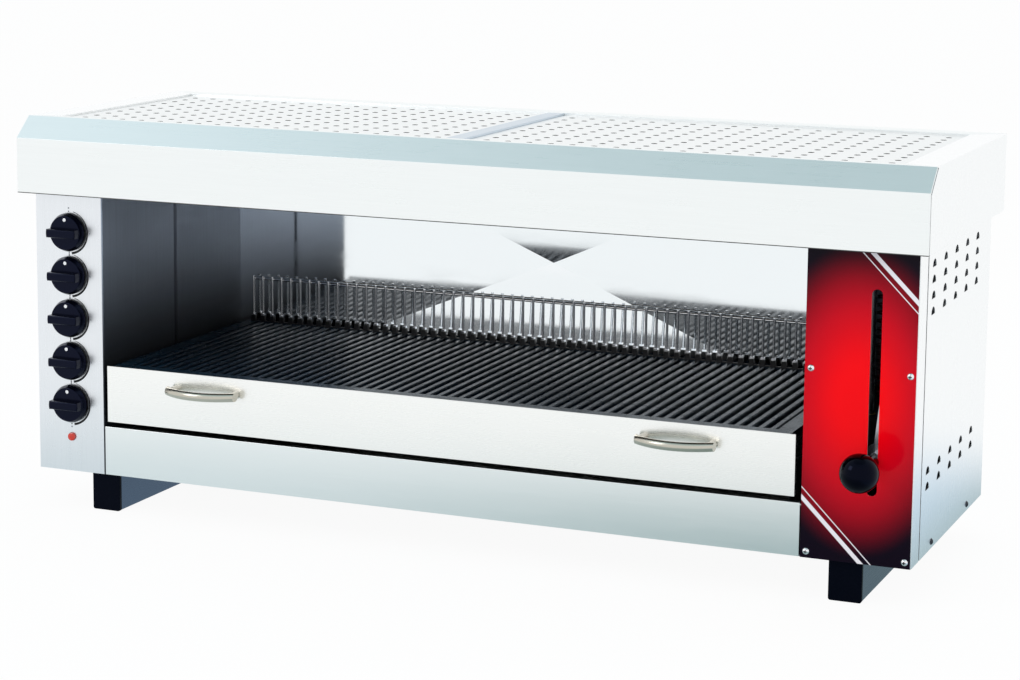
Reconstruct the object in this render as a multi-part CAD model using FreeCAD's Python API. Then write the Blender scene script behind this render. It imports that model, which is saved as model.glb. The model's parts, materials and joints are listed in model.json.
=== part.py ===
import FreeCAD, Part
import math
import os

# Gas salamander grill with a grate that a lever lifts towards the burners.
# Sizes are in millimetres. X runs to the right, Y from the front to the back and Z up from the floor.
# The shapes are drawn with Y = 0 at the front face of the hood. The last section moves them so that the
# origin lies on the floor under the middle of the whole object.

V = FreeCAD.Vector

# Sheet and plate thicknesses
skin = 1.5
pan_sheet = 1.2
base_sheet = 2.0

# Hood
hood_width = 1200.0
hood_depth = 413.0
skirt_height = 71.5
chamfer_rise = 26.5
chamfer_run = 29.7
front_rim = 12.3
end_rim = 40.0
rear_rim = 30.0
rim_seam = 0.6
end_return = 3.5
end_reveal = 3.0

# Perforated plates in the top of the hood
plate_drop = 3.0
plate_clearance = 0.6
ledge_width = 12.0
divider_width = 22.0
flue_hole_radius = 4.0
flue_pitch_x = 28.1
flue_pitch_y = 29.05
flue_margin = 20.5

# Cabinet
foot_height = 50.0
front_height = 369.0
front_overhang = 22.5
side_overhang = 13.0
rear_overhang = 13.0
left_column = 99.0
right_column = 133.0
column_return = 35.5
panel_reveal = 4.0
flange = 12.0
column_tuck = 15.0
plinth_height = 64.3
panel_seam = 2.0
cross_break_depth = 12.0

# Vents in the side panels
vent_radius = 9.0
vent_columns = 5
vent_pitch_y = 58.0
vent_pitch_z = 18.8
vent_first_y = 28.5
upper_vent_rows = 4
upper_vent_drop = 16.0
lower_vent_rows = 2
lower_vent_rise = 79.0

# Foot rails
rail_width = 38.8
rail_wall = 2.0
cap_lip = 0.8
cap_flange = 5.5
cap_corner = 3.0
cap_plug_length = 14.0
cap_plug_gap = 0.2
rail_setback = 6.5
left_rail_offset = -2.5
right_rail_offset = 54.0

# Screws
screw_radius = 1.9
screw_head_radius = 4.2
screw_head_height = 2.4
screw_length = 8.0
screw_recess = 1.2
screw_recess_reach = 2.1
screw_recess_depth = 1.2
fascia_screw_inset = 7.0
fascia_screw_low = 7.5
fascia_screw_high = 226.0
side_screw_rise = 8.3
side_screw_inset = 59.7
side_screw_spacing = 191.6
back_screw_shares = (0.12, 0.5, 0.88)

# Lever and its slot
fascia_thickness = 1.5
fascia_margin = 0.8
slot_width = 12.5
slot_below_stud = 40.0
slot_above_stud = 7.0
slot_relief = 4.0
stud_from_chamber = 84.0
stud_from_drawer_base = 50.0
stud_radius = 5.0
stud_back_length = 30.0
stud_from_ball_middle = 13.68
ball_radius = 22.8
ball_standoff = 60.0
ball_neck_radius = 11.0
ball_neck_tip_radius = 8.0
ball_neck_gap = 1.5
nut_across_flats = 17.0
nut_height = 8.0
lug_thickness = 4.0
lug_setback = 13.5
lug_tip_rise = 52.0
lug_tip_offset = 2.0
lug_slant_offset = 3.0
lug_slant_rise = 6.0
lever_bar_height = 26.0
lever_bar_thickness = 5.0
lever_bar_gap = 2.0
running_clearance = 0.05

# Burner knobs
knob_count = 5
knob_top_inset = 51.0
knob_bottom_inset = 90.6
knob_gap = 6.8
knob_standoff = 4.0
knob_skirt = 7.0
knob_taper = 2.8
knob_edge = 1.0
grip_width = 11.0
grip_height = 11.5
grip_edge = 2.2
grip_root = 2.0
grip_inset = 0.5
spindle_radius = 4.0
spindle_flat = 1.2
spindle_hole_radius = 8.5
spindle_end_wall = 1.5
knob_press_room = 4.5
button_rise = 46.0
button_radius = 5.2
button_reach = 4.0
button_dome = 1.6
button_travel = 3.0
button_stem = 14.0
button_hole_gap = 0.3
igniter_radius = 9.0
igniter_length = 46.0
igniter_end_room = 1.0

# Drawer
drawer_bottom_gap = 7.7
drawer_side_gap = 7.3
drawer_front_height = 74.0
drawer_proud = 3.0
drawer_return = 7.0
box_inset = 6.5
box_rim = 12.0
box_rear_gap = 6.0
tray_gap = 8.0
tray_height = 46.0
tray_corner = 9.6
handle_span = 98.0
handle_rise = 52.0
handle_inset = 144.5
handle_radius = 5.7
handle_bow = 28.0
handle_end_standoff = 10.0
handle_foot_inset = 5.5
handle_foot_radius = 5.0
handle_screw_radius = 2.0
handle_screw_length = 11.0

# Grate
grate_thickness = 9.0
grate_front_bar = 17.0
grate_rear_bar = 8.0
grate_side_bar = 14.0
bar_pitch = 14.6
bar_width = 8.0
bar_edge = 1.2
cross_bar_width = 8.0
cross_bar_drop = 4.0
cross_bar_count = 3
groove_width = 1.6
groove_depth = 3.0
groove_from_front = 69.0
fence_height = 65.0
fence_wire_radius = 1.8
fence_foot_height = 11.0
fence_foot_depth = 5.0
fence_foot_lip = 0.4
fence_strip_height = 1.0
fence_wire_overlap = 3.0
fence_tie_offset = 2.52
fence_tie_drop = 4.0
grate_lift_clearance = 11.0

# Lift carriage
runner_thickness = 2.0
runner_height = 40.0
runner_shelf = 20.0
runner_clearance = 2.0
carriage_front_gap = 1.0
shelf_clearance = 0.5
cross_member = 3.0
cross_member_height = 26.0
wall_slot_width = 9.0
wall_slot_lip = 8.0
wall_slot_above_floor = 8.0
wall_slot_below_deck = 20.0
tongue_thickness = 5.0
tongue_height = 30.0
tongue_rise = 6.0
tongue_above_block = 8.0
block_width = 36.0
block_depth = 40.0
block_height = 66.0
block_wall_gap = 4.0
rod_radius = 6.0
bush_radius = 9.0
bush_length = 16.0
hanger_height = 12.0
hanger_below_deck = 6.0
spring_radius = 8.75
spring_wire_radius = 1.25
spring_coils = 28
spring_lead = 14.0
spring_turn_in = 5.0
spring_offset = 33.0
spring_post_thickness = 4.0
spring_ear_thickness = 5.0
spring_ear_reach = 10.0
spring_below_top = 21.0

# Burners and gas line
deck_below_rim = 55.0
deck_sheet = 1.5
burner_count = 5
burner_gap = 22.0
burner_front_gap = 36.0
burner_height = 40.0
burner_service_depth = 98.0
plaque_margin = 9.0
plaque_height = 4.5
plaque_drop = 3.0
venturi_radius = 12.0
venturi_length = 18.0
venturi_wall = 1.5
feed_radius = 4.0
feed_bend = 12.0
feed_pitch = 10.5
feed_rear_gap = 5.5
feed_wall_gap = 19.0
injector_radius = 7.0
injector_length = 16.0
injector_reach = 4.0
valve_width = 30.0
valve_depth = 46.0
valve_height = 28.0
valve_setback = 20.0
valve_neck_radius = 8.0
valve_neck_root = 6.0
outlet_size = 16.0
outlet_inset = 6.0
manifold_size = 25.0
manifold_wall = 2.0
inlet_pipe_radius = 9.0
inlet_bore_radius = 6.5
inlet_collar_radius = 15.0
inlet_collar_length = 8.0
inlet_radius = 10.48
inlet_length = 18.0
inlet_rise = 30.0
electrode_setback = 12.0
electrode_radius = 3.0
electrode_rise = 24.0
electrode_collar_radius = 6.0
electrode_collar_height = 3.0
electrode_tip = 8.0
electrode_tip_radius = 0.8

# Lines of the hood and cabinet
hood_left = -hood_width / 2
hood_right = hood_width / 2
body_left = hood_left + side_overhang
body_right = hood_right - side_overhang
body_front = front_overhang
body_back = hood_depth - rear_overhang
body_bottom = foot_height
hood_bottom = body_bottom + front_height
chamfer_bottom = hood_bottom + skirt_height
hood_top = chamfer_bottom + chamfer_rise
column_top = hood_bottom + column_tuck
inner_front = body_front + skin
inner_left = body_left + skin
inner_right = body_right - skin
panel_back = body_back - skin
back_inner = panel_back - skin
chamber_left = body_left + left_column
chamber_right = body_right - right_column
floor_top = body_bottom + plinth_height - skin
base_top = body_bottom + base_sheet
deck_under = hood_top - deck_below_rim
deck_top = deck_under + deck_sheet

# Lines of the drawer and grate
drawer_bottom = body_bottom + plinth_height + drawer_bottom_gap
drawer_top = drawer_bottom + drawer_front_height
drawer_left = chamber_left + drawer_side_gap
drawer_right = chamber_right - drawer_side_gap
drawer_face = body_front - drawer_proud
drawer_sheet_back = drawer_face + skin
grate_base = drawer_top - grate_thickness
box_left = drawer_left + box_inset
box_right = drawer_right - box_inset
box_rear = back_inner - box_rear_gap
box_bottom = drawer_bottom + runner_thickness + shelf_clearance
box_top = grate_base
wire_first = box_left + box_rim
wire_last = box_right - box_rim
wire_count = int((wire_last - wire_first) / bar_pitch) + 1
wire_pitch = (wire_last - wire_first) / (wire_count - 1)
fence_top = drawer_top + fence_height
lift_travel = deck_under - grate_lift_clearance - fence_top

# Lines of the lift
lift_y = (body_front + body_back) / 2
stud_x = chamber_right + stud_from_chamber
stud_z = drawer_bottom + stud_from_drawer_base
slot_bottom = stud_z - slot_below_stud
slot_top = stud_z + lift_travel + stud_radius + slot_above_stud
ball_y = body_front - ball_standoff
block_bottom = drawer_bottom + tongue_rise - tongue_above_block
spring_low = block_bottom + block_height
spring_high = hood_top - spring_below_top

# Lines of the controls and gas line
control_x = (body_left + chamber_left) / 2
knob_low = body_bottom + knob_bottom_inset
knob_pitch = (hood_bottom - knob_top_inset - knob_low) / (knob_count - 1)
knob_radius = (knob_pitch - knob_gap) / 2
knob_back = body_front - knob_standoff
knob_face = knob_back - knob_skirt
knob_heights = [knob_low + knob_pitch * i for i in range(knob_count)]
valve_front = inner_front + valve_setback
valve_back = valve_front + valve_depth
feed_x = inner_left + feed_wall_gap
feed_z = deck_top + burner_height / 2
burner_pitch = (chamber_right - chamber_left) / burner_count
burner_width = burner_pitch - burner_gap
burner_front = inner_front + burner_front_gap
burner_rear = back_inner - burner_service_depth

# How far a cutting shape runs past the face that it cuts, and how near two lengths count as equal
over = 1.0
close = 0.01

parts = {}


def box(x0, x1, y0, y1, z0, z1):
    return Part.makeBox(x1 - x0, y1 - y0, z1 - z0, V(x0, y0, z0))


def rod(start, direction, length, radius):
    return Part.makeCylinder(radius, length, start, direction)


def fuse(shapes):
    """One solid from shapes that overlap or share faces."""
    return shapes[0].multiFuse(shapes[1:]).removeSplitter()


def lift(pair, plane, level):
    """A flat point as a point in space: the plane's name gives its two axes, and level is on the third."""
    a, b = pair
    return {"XY": V(a, b, level), "XZ": V(a, level, b), "YZ": V(level, a, b)}[plane]


def prism(pairs, plane, low, high):
    """A closed outline of flat points, drawn out across its plane from low to high."""
    corners = [lift(pair, plane, low) for pair in pairs]
    face = Part.Face(Part.makePolygon(corners + corners[:1]))
    travel = {"XY": V(0, 0, 1), "XZ": V(0, 1, 0), "YZ": V(1, 0, 0)}[plane]
    return face.extrude(travel * (high - low))


def offset_line(pairs, distance):
    """The line of points moved to its right-hand side, with mitred corners."""
    normals = []
    for (a0, b0), (a1, b1) in zip(pairs, pairs[1:]):
        length = math.hypot(a1 - a0, b1 - b0)
        normals.append(((b1 - b0) / length, -(a1 - a0) / length))
    before = normals[:1] + normals
    after = normals + normals[-1:]
    moved = []
    for (a, b), (na, nb), (ma, mb) in zip(pairs, before, after):
        scale = distance / (1 + na * ma + nb * mb)
        moved.append((a + (na + ma) * scale, b + (nb + mb) * scale))
    return moved


def folded(pairs, thickness, plane, low, high):
    """A sheet bent along a line of points. The sheet lies on the right-hand side of the line."""
    return prism(pairs + offset_line(pairs, thickness)[::-1], plane, low, high)


def mirrored_x(pairs):
    """Flat points mirrored left to right, in reversed order so that the same side stays inside."""
    return [(-a, b) for a, b in pairs[::-1]]


def unit(vector):
    return V(vector).normalize()


def bent_path(points, bend):
    """A wire of straight runs between the points, joined by tangent arcs of one radius."""
    edges = []
    start = points[0]
    for before, corner, after in zip(points, points[1:], points[2:]):
        first = unit(corner - before)
        second = unit(after - corner)
        half = first.getAngle(second) / 2
        reach = bend * math.tan(half)
        inward = unit(second - first)
        arc_start = corner - first * reach
        arc_end = corner + second * reach
        arc_middle = corner + inward * (bend / math.cos(half) - bend)
        edges.append(Part.LineSegment(start, arc_start).toShape())
        edges.append(Part.Arc(arc_start, arc_middle, arc_end).toShape())
        start = arc_end
    edges.append(Part.LineSegment(start, points[-1]).toShape())
    return Part.Wire(edges)


def swept(wire, start, direction, radius):
    """A round rod along a wire."""
    section = Part.Wire([Part.makeCircle(radius, start, direction)])
    return wire.makePipeShell([section], True, False)


def slot_cut(centre_x, width, low, high, y0, y1):
    """The volume of an upright slot with round ends, to be cut through a front sheet."""
    radius = width / 2
    middle = box(centre_x - radius, centre_x + radius, y0, y1, low + radius, high - radius)
    ends = [rod(V(centre_x, y0, z), V(0, 1, 0), y1 - y0, radius) for z in (low + radius, high - radius)]
    return middle.multiFuse(ends)


def screw(seat, outward):
    """A pan-head screw with a cross recess. seat is the point under its head, and outward is its axis."""
    shank = Part.makeCylinder(screw_radius, screw_length, V(0, 0, -screw_length))
    cap_radius = (screw_head_radius ** 2 + screw_head_height ** 2) / (2 * screw_head_height)
    ball = Part.makeSphere(cap_radius, V(0, 0, screw_head_height - cap_radius))
    head = ball.common(Part.makeCylinder(screw_head_radius, screw_head_height))
    arm = screw_recess_reach
    half = screw_recess / 2
    floor = screw_head_height - screw_recess_depth
    recess = box(-arm, arm, -half, half, floor, screw_head_height + over)
    recess = recess.fuse(box(-half, half, -arm, arm, floor, screw_head_height + over))
    shape = shank.fuse(head).removeSplitter().cut(recess)
    shape.Placement = FreeCAD.Placement(seat, FreeCAD.Rotation(V(0, 0, 1), outward))
    return shape


def drill(shape, seats, axis, radius=screw_radius, reach=screw_length):
    """The shape with a round hole at each seat, running along the axis on both sides of it."""
    direction = unit(axis)
    cutters = [rod(seat - direction * reach, direction, 2 * reach, radius) for seat in seats]
    return shape.cut(Part.makeCompound(cutters))


# Screw places, shared by the screws and the sheets that they hold

fascia_left = chamber_right + fascia_margin
fascia_right = body_right - fascia_margin
fascia_face = body_front - fascia_thickness
fascia_seats = [
    V(x, fascia_face, z)
    for x in (fascia_left + fascia_screw_inset, fascia_right - fascia_screw_inset)
    for z in (body_bottom + fascia_screw_low, body_bottom + fascia_screw_high)
]
side_panel_front = body_front + column_return + panel_reveal
side_seat_ys = [side_panel_front + side_screw_inset + side_screw_spacing * i for i in range(2)]
side_seat_z = body_bottom + side_screw_rise
left_seats = [V(body_left, y, side_seat_z) for y in side_seat_ys]
right_seats = [V(body_right, y, side_seat_z) for y in side_seat_ys]
back_seat_zs = [body_bottom + front_height * share for share in back_screw_shares]
back_seats = [
    V(x, body_back, z)
    for x in (inner_left + flange / 2, inner_right - flange / 2)
    for z in back_seat_zs
]


# Hood: a folded front skin, two end panels and a rear skirt, with mitred rims round the top

profile = [(0, hood_bottom), (0, chamfer_bottom), (chamfer_run, hood_top)]
rim_inner_left = hood_left + end_rim
rim_inner_right = hood_right - end_rim
rim_front = chamfer_run + front_rim
rim_rear = hood_depth - rear_rim
rim_under = hood_top - skin


def hood_front():
    """Bottom return, upright face, chamfer and top rim in one sheet, with a narrow return at each end."""
    line = [(front_overhang - fascia_thickness, hood_bottom)] + profile + [(rim_front, hood_top)]
    sheet = folded(line, skin, "YZ", hood_left, hood_right)
    for x in (hood_left, hood_right - skin):
        notch = box(x, x + skin, end_return + end_reveal, front_overhang, hood_bottom, hood_bottom + skin)
        sheet = sheet.cut(notch)
    mitre = [(rim_inner_right, rim_front + over), (rim_inner_right, rim_front)]
    mitre += [(hood_right + over, chamfer_run), (hood_right + over, rim_front + over)]
    for outline in (mitre, mirrored_x(mitre)):
        sheet = sheet.cut(prism(outline, "XY", rim_under - over, hood_top + over))
    band = prism(profile + offset_line(profile, end_return)[::-1], "YZ", 0, skin)
    band = band.cut(box(-over, skin + over, 0, rim_front, rim_under, hood_top + over))
    ends = []
    for x in (hood_left, hood_right - skin):
        end = band.copy()
        end.translate(V(x, 0, 0))
        ends.append(end)
    return fuse([sheet] + ends)


def hood_end_right():
    """End panel following the hood's profile, with a mitred top rim and a bottom return to the side panel."""
    inner = offset_line(profile, end_return + end_reveal)
    top_y = inner[1][0] + (rim_under - inner[1][1]) * chamfer_run / chamfer_rise
    outline = [inner[0], inner[1], (top_y, rim_under), (hood_depth, rim_under), (hood_depth, hood_bottom)]
    wall = prism(outline, "YZ", hood_right - skin, hood_right)
    rim_line = [
        (hood_right, chamfer_run + rim_seam),
        (hood_right, hood_depth),
        (rim_inner_right, rim_rear),
        (rim_inner_right, rim_front + rim_seam),
    ]
    rim = prism(rim_line, "XY", rim_under, hood_top)
    front_y = inner[0][0]
    bottom = box(body_right, hood_right, front_overhang + rim_seam, hood_depth, hood_bottom,
                 hood_bottom + skin)
    wall = wall.cut(box(hood_right - skin - over, hood_right + over, -over, front_y, 0, hood_top))
    return fuse([wall, rim, bottom])


def hood_rear():
    """Rear skirt between the end panels, with a mitred rim above and a return to the cabinet below."""
    x0 = hood_left + skin
    x1 = hood_right - skin
    skirt = box(x0, x1, hood_depth - skin, hood_depth, hood_bottom + skin, rim_under)
    rim_line = [
        (rim_inner_left, rim_rear + rim_seam),
        (rim_inner_right, rim_rear + rim_seam),
        (x1, hood_depth - skin + rim_seam),
        (x1, hood_depth),
        (x0, hood_depth),
        (x0, hood_depth - skin + rim_seam),
    ]
    rim = prism(rim_line, "XY", rim_under, hood_top)
    bottom = box(body_left, body_right, body_back, hood_depth, hood_bottom, hood_bottom + skin)
    bulge_depth = cross_break_depth / 2
    bulge = box(chamber_left, chamber_right, body_back, body_back + bulge_depth, hood_bottom,
                hood_bottom + skin)
    return fuse([skirt, rim, bottom.cut(bulge)])


parts["hood_front"] = hood_front()
parts["hood_end_right"] = hood_end_right()
parts["hood_end_left"] = parts["hood_end_right"].mirror(V(0, 0, 0), V(1, 0, 0))
parts["hood_rear"] = hood_rear()


# Top of the hood: a ledge frame, a divider and two perforated plates that drop in between

plate_top = hood_top - plate_drop
ledge_top = plate_top - skin
ledge_under = ledge_top - skin


def plate_frame():
    """A welded angle frame under the rims: an upright leg all round, and a ledge that carries the plates."""
    x0 = rim_inner_left
    x1 = rim_inner_right
    outer = box(x0 - skin, x1 + skin, rim_front - skin, rim_rear + skin, ledge_under, rim_under)
    well = box(x0, x1, rim_front, rim_rear, ledge_top, rim_under + over)
    opening = box(x0 + ledge_width, x1 - ledge_width, rim_front + ledge_width, rim_rear - ledge_width,
                  ledge_under - over, ledge_top + over)
    return outer.cut(well).cut(opening)


def top_divider():
    """The bar between the plates: a raised cap over a ledge strip for the plates' inner edges."""
    half = divider_width / 2
    cap = box(-half, half, rim_front + plate_clearance, rim_rear - plate_clearance, ledge_top, hood_top)
    strip = box(-half - ledge_width, half + ledge_width, rim_front + ledge_width, rim_rear - ledge_width,
                ledge_under, ledge_top)
    return fuse([cap, strip])


def top_plate(x0, x1):
    """A flat plate with round holes on a square pitch."""
    y0 = rim_front + plate_clearance
    y1 = rim_rear - plate_clearance
    columns = int((x1 - x0 - 2 * flue_margin) / flue_pitch_x) + 1
    rows = int((y1 - y0 - 2 * flue_margin) / flue_pitch_y) + 1
    first_x = (x0 + x1 - (columns - 1) * flue_pitch_x) / 2
    first_y = (y0 + y1 - (rows - 1) * flue_pitch_y) / 2
    corners = [V(x0, y0, ledge_top), V(x1, y0, ledge_top), V(x1, y1, ledge_top), V(x0, y1, ledge_top)]
    wires = [Part.makePolygon(corners + corners[:1])]
    for i in range(columns):
        for j in range(rows):
            centre = V(first_x + i * flue_pitch_x, first_y + j * flue_pitch_y, ledge_top)
            wires.append(Part.Wire([Part.makeCircle(flue_hole_radius, centre)]))
    face = Part.Face(wires[0]).cut(Part.makeCompound([Part.Face(wire) for wire in wires[1:]]))
    return face.Faces[0].extrude(V(0, 0, skin))


parts["plate_frame"] = plate_frame()
parts["top_divider"] = top_divider()
plate_inner = divider_width / 2 + plate_clearance
parts["top_plate_left"] = top_plate(rim_inner_left + plate_clearance, -plate_inner)
parts["top_plate_right"] = top_plate(plate_inner, rim_inner_right - plate_clearance)


# Cabinet sheets

spindle_seats = [V(control_x, body_front, z) for z in knob_heights]
button_seat = V(control_x, body_front, body_bottom + button_rise)


def control_panel():
    """Left column: front sheet, side return and inward flange, with holes for the spindles and the button."""
    line = [
        (chamber_left - panel_seam / 2, body_front),
        (body_left, body_front),
        (body_left, body_front + column_return),
        (body_left + flange, body_front + column_return),
    ]
    sheet = folded(line, skin, "XY", body_bottom, column_top)
    sheet = drill(sheet, spindle_seats, V(0, 1, 0), spindle_hole_radius)
    return drill(sheet, [button_seat], V(0, 1, 0), button_radius + button_hole_gap)


def lever_column():
    """Right column behind the fascia: front sheet with a wide slot, side return and inward flange."""
    line = [
        (body_right - flange, body_front + column_return),
        (body_right, body_front + column_return),
        (body_right, body_front),
        (chamber_right + panel_seam / 2, body_front),
    ]
    sheet = folded(line, skin, "XY", body_bottom, column_top)
    wide_slot = slot_cut(stud_x, slot_width + 2 * slot_relief, slot_bottom - slot_relief,
                         slot_top + slot_relief, body_front - over, inner_front + over)
    sheet = sheet.cut(wide_slot)
    return drill(sheet, fascia_seats, V(0, 1, 0))


def lever_fascia():
    """Flat printed panel on the right column, with the lever's slot."""
    sheet = box(fascia_left, fascia_right, fascia_face, body_front, body_bottom, column_top)
    slot = slot_cut(stud_x, slot_width, slot_bottom, slot_top, fascia_face - over, body_front + over)
    sheet = sheet.cut(slot)
    return drill(sheet, fascia_seats, V(0, 1, 0))


def lower_front_panel():
    """Sheet across the plinth between the columns, with a return along its top."""
    line = [
        (body_front, body_bottom),
        (body_front, body_bottom + plinth_height),
        (body_front + flange, body_bottom + plinth_height),
    ]
    return folded(line, skin, "YZ", chamber_left + panel_seam / 2, chamber_right - panel_seam / 2)


def vent_outline(y, z):
    """A half-round vent with its flat side down."""
    ends = V(body_right, y - vent_radius, z), V(body_right, y + vent_radius, z)
    arc = Part.Arc(ends[0], V(body_right, y, z + vent_radius), ends[1]).toShape()
    return Part.Face(Part.Wire([arc, Part.LineSegment(ends[1], ends[0]).toShape()]))


def side_panel_right():
    """Side sheet with a front and a rear flange and two groups of punched vents."""
    line = [
        (body_right - flange, body_back),
        (body_right, body_back),
        (body_right, side_panel_front),
        (body_right - flange, side_panel_front),
    ]
    sheet = folded(line, skin, "XY", body_bottom, column_top)
    first_y = side_panel_front + vent_first_y
    upper = [hood_bottom - upper_vent_drop - vent_radius - vent_pitch_z * i for i in range(upper_vent_rows)]
    lower = [body_bottom + lower_vent_rise + vent_pitch_z * i for i in range(lower_vent_rows)]
    cutters = []
    for column in range(vent_columns):
        for z in upper + lower:
            face = vent_outline(first_y + column * vent_pitch_y, z)
            face.translate(V(over, 0, 0))
            cutters.append(face.extrude(V(-skin - 2 * over, 0, 0)))
    sheet = sheet.cut(Part.makeCompound(cutters))
    sheet = drill(sheet, right_seats, V(1, 0, 0))
    return drill(sheet, back_seats, V(0, 1, 0))


def base_panel():
    """Floor of the cabinet with an upstand along each side, notched for the flanges of the sheets there."""
    upstand = base_top + flange
    line = [(inner_left, upstand), (inner_left, body_bottom)]
    line += [(inner_right, body_bottom), (inner_right, upstand)]
    sheet = folded(line[::-1], base_sheet, "XZ", inner_front, back_inner)
    for y in (body_front + column_return - skin, side_panel_front):
        sheet = sheet.cut(box(inner_left, body_left + flange, y, y + skin, body_bottom, upstand))
        sheet = sheet.cut(box(body_right - flange, inner_right, y, y + skin, body_bottom, upstand))
    return drill(sheet, left_seats + right_seats, V(1, 0, 0))


def break_pyramid(y, depth):
    """A low four-sided pyramid over the chamber's back, with its point towards +Y."""
    corners = [
        V(chamber_left, y, floor_top),
        V(chamber_right, y, floor_top),
        V(chamber_right, y, rim_under),
        V(chamber_left, y, rim_under),
    ]
    point = V((chamber_left + chamber_right) / 2, y + depth, (floor_top + rim_under) / 2)
    faces = [Part.Face(Part.makePolygon(corners + corners[:1]))]
    for a, b in zip(corners, corners[1:] + corners[:1]):
        faces.append(Part.Face(Part.makePolygon([a, b, point, a])))
    return Part.Solid(Part.makeShell(faces))


def back_panel():
    """Back sheet from the base to the rim, cross-broken over the chamber so that it bulges to the rear."""
    flat = box(inner_left, inner_right, back_inner, panel_back, base_top, rim_under)
    sheet = flat.fuse(break_pyramid(panel_back, cross_break_depth))
    sheet = sheet.cut(break_pyramid(back_inner, cross_break_depth))
    sheet = drill(sheet, [inlet_seat], V(0, 1, 0), inlet_pipe_radius)
    return drill(sheet, back_seats, V(0, 1, 0))


slot_y0 = lift_y - wall_slot_width / 2
slot_y1 = lift_y + wall_slot_width / 2
wall_slot_low = floor_top + wall_slot_above_floor
wall_slot_high = deck_under - wall_slot_below_deck


def chamber_wall(inside_x, side):
    """Inner wall with an upright slot for the carriage. inside_x is its face in the chamber, and side is 1
    where the compartment lies to its right, or -1. The slot's edges are folded into the compartment."""
    x0, x1 = sorted((inside_x, inside_x + side * skin))
    lip_x0, lip_x1 = sorted((inside_x, inside_x + side * wall_slot_lip))
    wall = box(x0, x1, inner_front, back_inner, base_top, deck_under)
    slot = box(x0 - skin, x1 + skin, slot_y0, slot_y1, wall_slot_low, wall_slot_high)
    lips = []
    for y in (slot_y0 - skin, slot_y1):
        lips.append(box(lip_x0, lip_x1, y, y + skin, wall_slot_low, wall_slot_high))
    return fuse([wall.cut(slot)] + lips)


def burner_centres():
    return [chamber_left + burner_pitch * (i + 0.5) for i in range(burner_count)]


def plaque_box(centre, growth, low, high):
    half = burner_width / 2 - plaque_margin + growth
    y0 = burner_front + plaque_margin - growth
    y1 = burner_rear - plaque_margin + growth
    return box(centre - half, centre + half, y0, y1, low, high)


def burner_deck():
    """Roof of the cooking chamber, with an opening for each burner's plaques."""
    sheet = box(chamber_left - skin, chamber_right + skin, inner_front, back_inner, deck_under, deck_top)
    openings = [plaque_box(centre, 0, deck_under - over, deck_top + over) for centre in burner_centres()]
    return drill(sheet.cut(Part.makeCompound(openings)), electrode_seats, V(0, 0, 1), electrode_radius)


electrode_seats = [V(x, burner_front - electrode_setback, deck_top) for x in burner_centres()]
inlet_z = base_top + inlet_rise
inlet_seat = V(control_x, back_inner, inlet_z)

parts["control_panel"] = control_panel()
parts["lever_column"] = lever_column()
parts["lever_fascia"] = lever_fascia()
parts["lower_front_panel"] = lower_front_panel()
parts["side_panel_right"] = side_panel_right()
parts["side_panel_left"] = parts["side_panel_right"].mirror(V(0, 0, 0), V(1, 0, 0))
parts["base_panel"] = base_panel()
parts["back_panel"] = back_panel()
parts["chamber_wall_left"] = chamber_wall(chamber_left, -1)
parts["chamber_wall_right"] = chamber_wall(chamber_right, 1)
parts["chamber_floor"] = box(chamber_left, chamber_right, inner_front, back_inner,
                             floor_top - skin, floor_top)
parts["burner_deck"] = burner_deck()


# Foot rails: two rectangular tubes from front to back, each end closed by a plastic plug

rail_xs = (chamber_left + left_rail_offset, chamber_right + right_rail_offset)
rail_front = body_front + rail_setback + cap_flange
rail_rear = body_back - rail_setback - cap_flange


def foot_rail(x):
    half = rail_width / 2
    outer = box(x - half, x + half, rail_front, rail_rear, cap_lip, body_bottom)
    bore = box(x - half + rail_wall, x + half - rail_wall, rail_front - over, rail_rear + over,
               cap_lip + rail_wall, body_bottom - rail_wall)
    return outer.cut(bore)


def foot_end_cap(x):
    """A plug for the front end of a rail: a flange a little larger than the tube, with its lower corners
    rounded, and a block that fits in the bore."""
    half = rail_width / 2 + cap_lip
    flange_plate = box(x - half, x + half, rail_front - cap_flange, rail_front, 0, body_bottom)
    lower_edges = [
        edge for edge in flange_plate.Edges
        if abs(edge.CenterOfMass.z) < close and abs(abs(edge.CenterOfMass.x - x) - half) < close
    ]
    flange_plate = flange_plate.makeFillet(cap_corner, lower_edges)
    inside = rail_wall + cap_plug_gap
    plug_half = rail_width / 2 - inside
    plug = box(x - plug_half, x + plug_half, rail_front - over, rail_front + cap_plug_length,
               cap_lip + inside, body_bottom - inside)
    return fuse([flange_plate, plug])


front_caps = [foot_end_cap(x) for x in rail_xs]
cap_mirror = V(0, (rail_front + rail_rear) / 2, 0)
rear_caps = [cap.mirror(cap_mirror, V(0, 1, 0)) for cap in front_caps]
parts["foot_rails"] = Part.makeCompound([foot_rail(x) for x in rail_xs])
parts["foot_end_caps"] = Part.makeCompound(front_caps + rear_caps)

screws = [screw(seat, V(0, -1, 0)) for seat in fascia_seats]
screws += [screw(seat, V(-1, 0, 0)) for seat in left_seats]
screws += [screw(seat, V(1, 0, 0)) for seat in right_seats]
screws += [screw(seat, V(0, 1, 0)) for seat in back_seats]
parts["panel_screws"] = Part.makeCompound(screws)


# Drawer: front, box, drip tray and two bow handles

handle_xs = (drawer_left + handle_inset, drawer_right - handle_inset)
handle_z = drawer_bottom + handle_rise
handle_foot = handle_span / 2 - handle_foot_inset
handle_seats = [V(x + side * handle_foot, drawer_face, handle_z) for x in handle_xs for side in (-1, 1)]


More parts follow.
